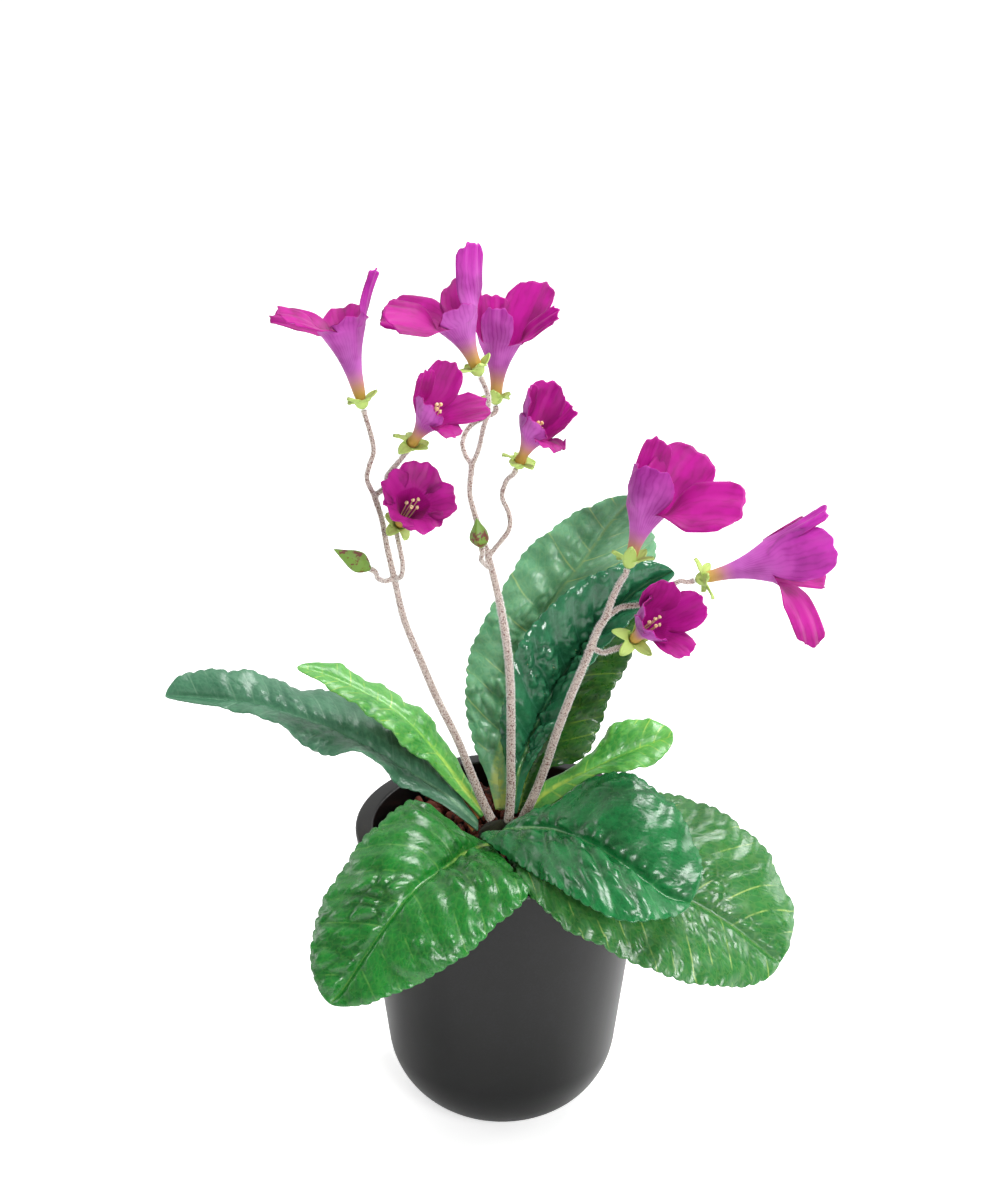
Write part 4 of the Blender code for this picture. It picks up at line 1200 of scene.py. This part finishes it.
@dataclass
class Stalk:
    """A downy flower stalk with its strands grown together, and the hairs on it."""

    name: str
    routes: list[list[Point | str]]   # the main stalk, then its strands; a name stands for its seat
    seed: int = 1
    foot_radius: float = 2.2     # mm, at the crown
    foot_lift: float = 0.6       # mm that the foot stands above the route's first point
    strand_radius: float = 1.1   # mm
    swollen: float = 0.25        # mm that a strand is thicker right at its end
    skin: float = 0.55           # mm, fineness of the remeshed skin
    hairs: float = 11.0          # for each square millimetre
    hair_length: tuple[float, float] = (0.3, 0.9)   # mm, shortest and longest
    hair_radius: float = 0.11    # mm at its foot, thicker than a real hair so that it shows
    hair_sunk: float = 0.1       # mm that its foot lies in the skin
    hair_lean: float = 0.45      # how unevenly the hairs stand

    def ends(self, name: str) -> list[np.ndarray]:
        """Lines a strand's end up with what it carries.

        Args:
            name: the flower or the bud.

        Returns:
            The strand's last two points.
        """
        carried = CARRIED[name]
        seat = np.array(carried.seat, float)
        axis = unit(np.array(carried.throat if isinstance(carried, Flower) else carried.tip, float) - seat)
        return [seat - 3.0 * axis, seat]

    def build(self) -> bpy.types.Object:
        """Makes the stalk and puts it on the frame.

        Returns:
            The stalk.
        """
        points, faces = [], []
        for index, route in enumerate(self.routes):
            stops = [p for stop in route for p in (self.ends(stop) if isinstance(stop, str) else [stop])]
            if index == 0:
                stops[0] = (*stops[0][:2], stops[0][2] + self.foot_lift)
            stations = even_stations(stops, len(stops) - 1, 1.2)
            path = route_at(stops, stations)
            thick = self.foot_radius if index == 0 else self.strand_radius
            radii = thick + (self.strand_radius - thick) * stations / stations[-1]
            swollen = self.swollen * np.exp(-((stations[-1] - stations) / 0.5) ** 2)
            add_tube(points, faces, path, radii + swollen, 16)
        piece = mesh_piece(f"{self.name}_skin", np.array(points), faces, [])
        skin = piece.modifiers.new("grown_together", "REMESH")
        skin.mode = "VOXEL"
        skin.voxel_size = self.skin * MM
        soften = piece.modifiers.new("soften", "SMOOTH")
        soften.factor, soften.iterations = 0.5, 3
        settle(piece)
        self.grow_hairs(piece)
        declare(piece, "stalk", self.name)
        return piece

    @staticmethod
    def young(height: np.ndarray) -> np.ndarray:
        """How downy a stalk is at a height in mm, from 0.6 at the crown to 1.3 at the top."""
        return 0.6 + 0.7 * smoothstep(height, 160.0, 260.0)

    def grow_hairs(self, piece: bpy.types.Object) -> None:
        """Adds short stiff hairs, each a slim three-sided cone.

        Args:
            piece: the bare stalk, whose mesh is replaced.
        """
        skin = piece.data
        count = len(skin.vertices)
        places, normals = np.empty(3 * count), np.empty(3 * count)
        skin.vertices.foreach_get("co", places)
        skin.vertices.foreach_get("normal", normals)
        places, normals = places.reshape(-1, 3) / MM, normals.reshape(-1, 3)
        chooser = np.random.default_rng(self.seed)
        area = sum(polygon.area for polygon in skin.polygons) / MM ** 2
        weight = self.young(places[:, 2]) ** 2
        roots = chooser.choice(count, size=min(int(area * self.hairs), count), replace=False,
                               p=weight / weight.sum())
        lean = normals[roots] + chooser.normal(0, self.hair_lean, (len(roots), 3))
        lean /= np.linalg.norm(lean, axis=1, keepdims=True)
        length = chooser.uniform(*self.hair_length, (len(roots), 1)) * self.young(places[roots, 2:])
        side = np.cross(lean, chooser.normal(0, 1, lean.shape))
        side /= np.linalg.norm(side, axis=1, keepdims=True)
        other = np.cross(lean, side)
        foot = places[roots] - self.hair_sunk * normals[roots]
        corners = [foot + self.hair_radius * (math.cos(a) * side + math.sin(a) * other)
                   for a in HAIR_CORNERS]
        spikes = np.stack([*corners, foot + lean * length], axis=1).reshape(-1, 3)
        start = 4 * np.arange(len(roots))[:, None]
        hair_faces = np.concatenate([start + np.array(f) for f in ((0, 1, 3), (1, 2, 3), (2, 0, 3))])
        faces = [tuple(p.vertices) for p in skin.polygons] + (hair_faces + count).tolist()
        mesh = bpy.data.meshes.new(piece.name)
        mesh.from_pydata(np.vstack([places, spikes]).dot(MM).tolist(), [], faces)
        mesh.shade_smooth()
        for finish in (Finish.STALK, Finish.DOWN):
            mesh.materials.append(dressed(finish))
        slots = np.zeros(len(faces), int)
        slots[len(skin.polygons):] = 1
        mesh.polygons.foreach_set("material_index", slots)
        piece.data = mesh


FLOWERS = [
    Flower(1, (-59, -2, 351), (-67.6, 7, 383.4), (1, 0.2, 0), 9.5, sepal=5.0, lobes=[
        Lobe(24, 6.5, 15, 35, twist=-25), Lobe(13, 10, 20, 60), Lobe(26, 8, 35, 75, twist=-20),
        Lobe(26, 8, 35, 78, twist=-40), Lobe(7, 9, 25, 50)]),
    Flower(2, (-40, -15, 338), (-30.2, -21, 355), (0.5, 0, 1), 6.5, sepal=6.5, anthers=5.5, lobes=[
        Lobe(21, 8, 20, 30), Lobe(20, 5, 15, 15, twist=-35), Lobe(14, 7.5, 20, 25), Lobe(10, 8, 30, 90),
        Lobe(20, 8, 35, 70)]),
    Flower(3, (-9, -5, 367), (-18.6, -1, 389), (1, 0, 0.4), 8.5, sepal=6.0, lobes=[
        Lobe(31, 7, 8, 28, twist=-45), Lobe(22, 10, 25, 60), Lobe(32, 11, 45, 75, twist=-20),
        Lobe(27, 10, 35, 65, twist=-50), Lobe(9, 9, 20, 30)]),
    Flower(4, (-3, 14, 347), (-0.9, 22, 372), (-1, 0, 0.3), 8.5, sepal=5.0, lobes=[
        Lobe(27, 5, 18, 5, twist=-30), Lobe(16, 7, 15, 5), Lobe(25, 5, 35, 60, twist=60),
        Lobe(31, 12, 20, 26, twist=15), Lobe(22, 9, 20, 10)]),
    Flower(5, (6, -7, 326), (13.5, -9, 343), (0, 1, 0.2), 6.3, sepal=5.5, anthers=4.0, lobes=[
        Lobe(21, 8.5, 20, 10), Lobe(19, 8, 15, 8), Lobe(10, 8, 15, 20), Lobe(10, 8, 35, 110),
        Lobe(17, 9, 18, 22)]),
    Flower(6, (-45, -12, 301), (-37.9, -28, 318.6), (0.34, 0, 0.94), 7.5, sepal=6.0, anthers=0.5, lobes=[
        Lobe(11.5, 10, 45, 65), Lobe(10, 9, 40, 55), Lobe(8, 9, 40, 60), Lobe(9, 9.5, 45, 70),
        Lobe(11.5, 9.5, 45, 70)]),
    Flower(7, (54, -16, 283), (62, -9, 307.5), (0.87, -0.5, 0), 8.5, sepal=8.5, lobes=[
        Lobe(37, 14, 50, 80, twist=52), Lobe(33, 14, 15, 26, twist=35), Lobe(31, 8, 10, -6),
        Lobe(18, 9, 10, 0), Lobe(20, 10, 20, 5)]),
    Flower(8, (84, -8, 274), (116, -4, 281.4), (0, 0, 1), 9.0, sepal=8.0, lobes=[
        Lobe(31, 7, 10, 20), Lobe(29, 11.5, 16, 3), Lobe(34, 9, 42, 100, twist=50), Lobe(31, 9, 25, 40),
        Lobe(24, 10, 15, 15)]),
    Flower(9, (56, -20, 250), (64.3, -33, 264.8), (0.2, 0.3, 1), 7.5, sepal=8.0, anthers=3.0, lobes=[
        Lobe(17, 9, 20, 20), Lobe(12, 9, 10, 5), Lobe(11, 9, 15, 15), Lobe(16, 8, 35, 65),
        Lobe(19, 8.5, 25, 50)]),
]
BUDS = [
    Bud("flower_bud_1", (-57, -18, 284), (-72, -22, 295), 5.0),
    Bud("flower_bud_2", (-9, -13, 292), (-11, -14, 306), 4.6),
]
CARRIED = {f"flower_{flower.number}": flower for flower in FLOWERS} | {bud.name: bud for bud in BUDS}

STALKS = [
    Stalk("flower_stalk_left", seed=11, routes=[
        [(-5, -1, 150), (-9, -1, 160), (-14, -1, 174), (-20, -2, 192), (-29, -4, 214), (-36, -6, 234),
         (-43, -8, 255), (-47, -10, 276), (-50, -9, 291), (-52, -8, 303), (-55, -8, 314)],
        [(-55, -8, 314), (-58, -7, 321), (-57, -6, 327), (-55, -5, 333), (-56, -4, 340), "flower_1"],
        [(-55, -8, 314), (-50, -10, 319), (-49, -12, 325), (-44, -14, 332), "flower_2"],
        [(-47, -10, 276), (-51, -13, 276), (-54, -16, 279), "flower_bud_1"],
        [(-47, -10, 276), (-44, -13, 278), (-43, -14, 284), (-44, -14, 291), "flower_6"]]),
    Stalk("flower_stalk_middle", seed=12, routes=[
        [(3, -4, 150), (4, -3, 165), (4, -2, 182), (4, -3, 208), (3, -4, 233), (0, -5, 256),
         (-3, -6, 272), (-6, -7, 285), (-9, -5, 294), (-12, -3, 304), (-14, -2, 313), (-13, 0, 325)],
        [(-13, 0, 325), (-10, -1, 333), (-8, -2, 343), (-6, -3, 350), (-6, -4, 358), "flower_3"],
        [(-13, 0, 325), (-16, 3, 329), (-17, 6, 334), (-13, 10, 340), "flower_4"],
        [(-6, -7, 285), (-2, -6, 290), (3, -5, 297), (3, -4, 304), (0, -4, 312), (2, -5, 320), "flower_5"],
        [(-6, -7, 280), (-9, -11, 285), "flower_bud_2"]]),
    Stalk("flower_stalk_right", seed=13, routes=[
        [(9, -3, 150), (15, -1, 164), (20, -1, 179), (25, -4, 198), (31, -7, 218), (37, -10, 236),
         (42, -12, 252), (45, -13, 258), (48, -14, 268), (51, -15, 276), "flower_7"],
        [(45, -13, 258), (52, -12, 263), (61, -11, 264), (69, -10, 269), (77, -9, 274), "flower_8"],
        [(40, -11, 243), (44, -14, 242), (49, -17, 245), "flower_9"]]),
]


# ---------------------------------------------------------------- pot and filling

@dataclass
class Pot:
    """Cover pot: a conical wall that turns in one large arc into a small flat foot."""

    wall: float = 6.0
    taper: float = 7.0           # degrees
    corner: float = 41.0         # radius of the large arc
    lip_width: float = 8.3
    lip_edge: float = 1.3        # rounding of the lip's edges
    lip_depth: float = 7.0       # from the rim down to where the lip turns back to the wall
    lip_root: float = 12.0       # from the rim down to where it meets the wall
    steps: int = 160             # points round it
    radius: float = field(init=False)
    height: float = field(init=False)

    def __post_init__(self) -> None:
        """Reads the rim's size from the frame."""
        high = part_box("pot")[1]
        self.radius, self.height = high[0] / MM, high[2] / MM

    def cavity_radius(self, z: float) -> float:
        """Inner radius of the wall at a height above the large arc."""
        return self.radius - self.wall - (self.height - z) * math.tan(math.radians(self.taper))

    @staticmethod
    def arc(centre: tuple[float, float], radius: float, start: float, end: float,
            count: int) -> list[tuple[float, float]]:
        """Draws an arc in the profile plane.

        Args:
            centre: its centre.
            radius: its radius.
            start: its first angle, in degrees.
            end: its last angle, in degrees.
            count: how many points to place on it.

        Returns:
            Radius and height of each point.
        """
        return [(centre[0] + radius * math.cos(a), centre[1] + radius * math.sin(a))
                for a in np.radians(np.linspace(start, end, count))]

    def profile(self) -> list[tuple[float, float]]:
        """Draws half of the pot's section.

        Returns:
            Radius and height of points from the cavity's floor, over the lip and down to the foot.
        """
        lean = math.radians(self.taper)
        foot = self.radius - (self.corner + (self.height - self.corner) * math.sin(lean)) / math.cos(lean)
        inner = self.arc((foot, self.corner), self.corner - self.wall, -90, -self.taper, 24)
        outer = self.arc((foot, self.corner), self.corner, -self.taper, -90, 36)
        mouth, edge = self.radius - self.lip_width, self.lip_edge
        lip = (self.arc((mouth + edge, self.height - edge), edge, 180, 90, 8)
               + self.arc((self.radius - edge, self.height - edge), edge, 90, -self.taper, 10))
        root = self.height - self.lip_root
        under = [(self.cavity_radius(root), root), (mouth, self.height - self.lip_depth)]
        return [(0, self.wall)] + inner + under + lip + outer + [(foot - 3, 0), (foot - 4, 0.3), (0, 0.3)]

    def build(self) -> None:
        """Makes the pot and dresses the potting mix."""
        profile = self.profile()
        points = []
        for radius, z in profile[1:-1]:
            for k in range(self.steps):
                angle = 2 * math.pi * k / self.steps
                points.append((radius * math.cos(angle), radius * math.sin(angle), z))
        faces = capped_faces(len(profile) - 2, self.steps)
        piece = mesh_piece("cover_pot", np.array(points), faces, [dressed(Finish.POT)])
        piece.data.set_sharp_from_angle(angle=math.radians(50))
        declare(piece, "pot", "pot")
        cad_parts["potting_mix"].material_slots[0].material = dressed(Finish.MIX)


@dataclass
class Granules:
    """A loose layer of fired clay lumps on the potting mix."""

    lump: float = 6.4            # mm across
    rings: int = 8               # rings of lumps in the lower layer
    inner: float = 12.5          # mm, radius of the ring next to the crown
    layers: tuple[float, ...] = (0.35, 0.95)   # height of each layer's middle, in lumps
    stray: float = 0.8           # mm, how far a lump lies from its place, sideways
    unlevel: float = 0.6         # mm, and up or down
    dents: float = 0.32          # depth of the broad dents, as a share of the radius
    pits: float = 0.12           # and of the fine ones
    seed: int = 5

    def build(self) -> bpy.types.Object:
        """Makes the lumps as one piece and puts it on the frame.

        Returns:
            The piece.
        """
        low, high = (corner / MM for corner in map(np.array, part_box("clay_granules")))
        edge = high[0] - 0.55 * self.lump
        chooser = np.random.default_rng(self.seed)
        ball = bmesh.new()
        bmesh.ops.create_icosphere(ball, subdivisions=3, radius=1.0)
        shape = np.array([v.co[:] for v in ball.verts])
        corners = [[v.index for v in face.verts] for face in ball.faces]
        ball.free()
        points, faces = [], []
        for layer, rise in enumerate(self.layers):
            for ring in range(self.rings - layer):
                radius = self.inner + (edge - self.inner) * (ring + 0.5 * layer) / (self.rings - 1)
                count = int(2 * math.pi * radius / (self.lump * (1.02 + 0.5 * layer)))
                for k in range(count):
                    angle = 2 * math.pi * (k + chooser.uniform(-0.2, 0.2)) / count + ring
                    height = low[2] + self.lump * rise + chooser.uniform(-self.unlevel, self.unlevel)
                    place = np.array([radius * math.cos(angle), radius * math.sin(angle), height])
                    place[:2] += chooser.uniform(-self.stray, self.stray, 2)
                    bumps = waves(shape[:, 0] + 3.1 * k, shape[:, 1] + 1.7 * ring, 0.9, layer + 2)
                    fine = waves(shape[:, 1] + 2.3 * k, shape[:, 2] + 0.9 * ring, 0.35, layer + 5)
                    scale = 0.5 * self.lump * chooser.uniform(0.82, 1.1) * chooser.uniform(0.8, 1.15, 3)
                    faces.extend([[i + len(points) for i in corner] for corner in corners])
                    uneven = (1 + self.dents * bumps + self.pits * fine)[:, None]
                    points.extend(place + shape * scale * uneven)
        piece = mesh_piece("clay_lumps", np.array(points), faces, [dressed(Finish.GRANULE)])
        declare(piece, "clay_granules", "clay_granules")
        return piece


@dataclass
class Crown:
    """The short rootstock that leaves and stalks grow from, wrapped in old leaf bases."""

    scales: int = 7              # old leaf bases in each whorl
    whorls: int = 3
    steps: int = 96              # points round it
    rows: int = 44
    swell: tuple[float, ...] = (0.72, 0.74, 0.86, 0.97, 1.0, 0.94, 0.7, 0.35, 0.0)
    bulge: float = 0.1           # how far an old leaf base stands out, as a share of the radius
    rough: float = 0.03          # the same for the torn skin

    def build(self) -> bpy.types.Object:
        """Makes the crown and puts it on the frame.

        Returns:
            The crown.
        """
        low, high = (corner / MM for corner in map(np.array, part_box("crown")))
        height = high[2] - low[2]
        swell = [(r, 0, 0) for r in self.swell]
        v = np.linspace(0, 1, self.rows)[:, None]
        angle = np.linspace(0, 2 * math.pi, self.steps, endpoint=False)[None, :]
        radius = high[0] * route_at(swell, v.ravel() * (len(swell) - 1))[:, :1]
        # Each whorl is turned against the one below and stands out less towards its top
        scale = np.abs(np.sin(0.5 * self.scales * angle + 1.3 * np.floor(self.whorls * v))) ** 0.5
        step = (self.whorls * v) % 1.0
        torn = waves(np.cos(angle) * 9 + 0 * v, np.sin(angle) * 9 + 30 * v, 3.0, 3)
        radius = radius * (0.9 + self.bulge * scale * (1 - 0.5 * step)) * (1 + self.rough * torn)
        grid = np.stack([radius * np.cos(angle), radius * np.sin(angle),
                         np.broadcast_to(low[2] + height * v, radius.shape)], -1)
        faces = capped_faces(self.rows, self.steps)
        piece = mesh_piece("crown_scales", grid.reshape(-1, 3), faces, [dressed(Finish.CROWN)])
        declare(piece, "crown", "crown")
        return piece


# ---------------------------------------------------------------- studio

@dataclass(frozen=True)
class Lamp:
    """A square soft lamp that points at the plant."""

    name: str
    place: Point                 # metres
    size: float                  # metres
    power: float                 # watts

    def build(self) -> None:
        """Adds the lamp."""
        light = bpy.data.lights.new(self.name, "AREA")
        light.size, light.energy = self.size, self.power
        lamp = bpy.data.objects.new(self.name, light)
        lamp.location = self.place
        lamp.rotation_euler = (Vector(self.place) - Vector(AIM)).to_track_quat("Z", "Y").to_euler()
        bpy.context.scene.collection.objects.link(lamp)


@dataclass
class Studio:
    """Camera, soft lamps, an even white world and a pale floor."""

    camera_at: Point = (-0.92, -1004.49, 721.45)
    camera_pitch: float = 65.375     # degrees from straight down
    lens: float = 75.0
    floor_width: float = 12.0        # metres
    front_sky: float = 0.24          # light from the camera's side of the world
    rear_sky: float = 0.9            # light from behind the plant
    floor_lift: float = 0.55         # how much whiter the floor looks to the camera
    lamps: tuple[Lamp, ...] = (
        Lamp("overhead", (0.6, 0.15, 1.7), 0.75, 25.0),     # the shine on the quilts
        Lamp("front", (0.5, -1.5, 1.0), 0.5, 16.0),         # fills the shade under the leaves
        Lamp("edge_right", (1.5, 0.5, 0.5), 0.7, 6.5),      # the bright right side of the pot
        Lamp("edge_left", (-1.6, 0.4, 0.5), 0.7, 4.5),      # and its fainter left side
    )

    def build(self) -> None:
        """Sets up everything that isn't the plant or its pot."""
        scene = bpy.context.scene
        scene.view_settings.view_transform = "Standard"
        lens = bpy.data.cameras.new("camera")
        lens.lens, lens.sensor_width, lens.clip_end = self.lens, 36.0, 50.0
        camera = bpy.data.objects.new("camera", lens)
        camera.location = Vector(self.camera_at) * MM
        camera.rotation_euler = (math.radians(self.camera_pitch), 0, 0)
        scene.collection.objects.link(camera)
        scene.camera = camera
        self.light_world(scene)
        for lamp in self.lamps:
            lamp.build()
        self.lay_floor(scene)

    def light_world(self, scene: bpy.types.Scene) -> None:
        """Makes a world that is white to the camera and a soft grey-white as a light.

        Args:
            scene: the scene it belongs to.
        """
        world = bpy.data.worlds.new("white_surround")
        scene.world = world
        world.use_nodes = True
        tree = world.node_tree
        seen = add_node(tree, "LightPath", out="Is Camera Ray")
        toward = add_node(tree, "TexCoord", out="Generated")
        rearward = add_node(tree, "SeparateXYZ", toward, out="Y")
        glow = add_node(tree, "MapRange", rearward, -0.3, 0.9, self.front_sky, self.rear_sky, **SMOOTH)
        strength = add_node(tree, "Math", seen, glow, operation="MAXIMUM")
        plug(tree, tree.nodes["Background"], {"Color": linear(WHITE), "Strength": strength})

    def lay_floor(self, scene: bpy.types.Scene) -> None:
        """Lays matte white paper that keeps the soft shadow.

        Args:
            scene: the scene it belongs to.
        """
        material, tree, shader = start_material("floor_white_paper")
        spot = add_node(tree, "TexCoord", out="Object")
        grain = add_node(tree, "TexNoise", links={"Vector": spot, "Scale": 4.0, "Detail": 2.0})
        paper = add_node(tree, "Mix", links={0: grain, 6: linear("fafafa"), 7: linear("fcfcfc")}, **MIX)
        seen = add_node(tree, "LightPath", out="Is Camera Ray")
        lift = add_node(tree, "Math", seen, self.floor_lift, operation="MULTIPLY")
        plug(tree, shader, {"Base Color": paper, "Roughness": 0.9, "Specular IOR Level": 0.1,
                            "Emission Color": linear(WHITE), "Emission Strength": lift})
        half = self.floor_width / 2
        mesh = bpy.data.meshes.new("floor")
        corners = [(-half, -half, 0), (half, -half, 0), (half, half, 0), (-half, half, 0)]
        mesh.from_pydata(corners, [], [(0, 1, 2, 3)])
        mesh.materials.append(material)
        floor = bpy.data.objects.new("floor", mesh)
        scene.collection.objects.link(floor)


def main() -> None:
    """Builds the studio, the pot and the plant, in that order."""
    logging.basicConfig(level=logging.INFO, format="%(message)s")
    Studio().build()
    Pot().build()
    Granules().build()
    Crown().build()
    for part in (*LEAVES, *STALKS, *FLOWERS, *BUDS):
        part.build()


if __name__ == "__main__":
    main()
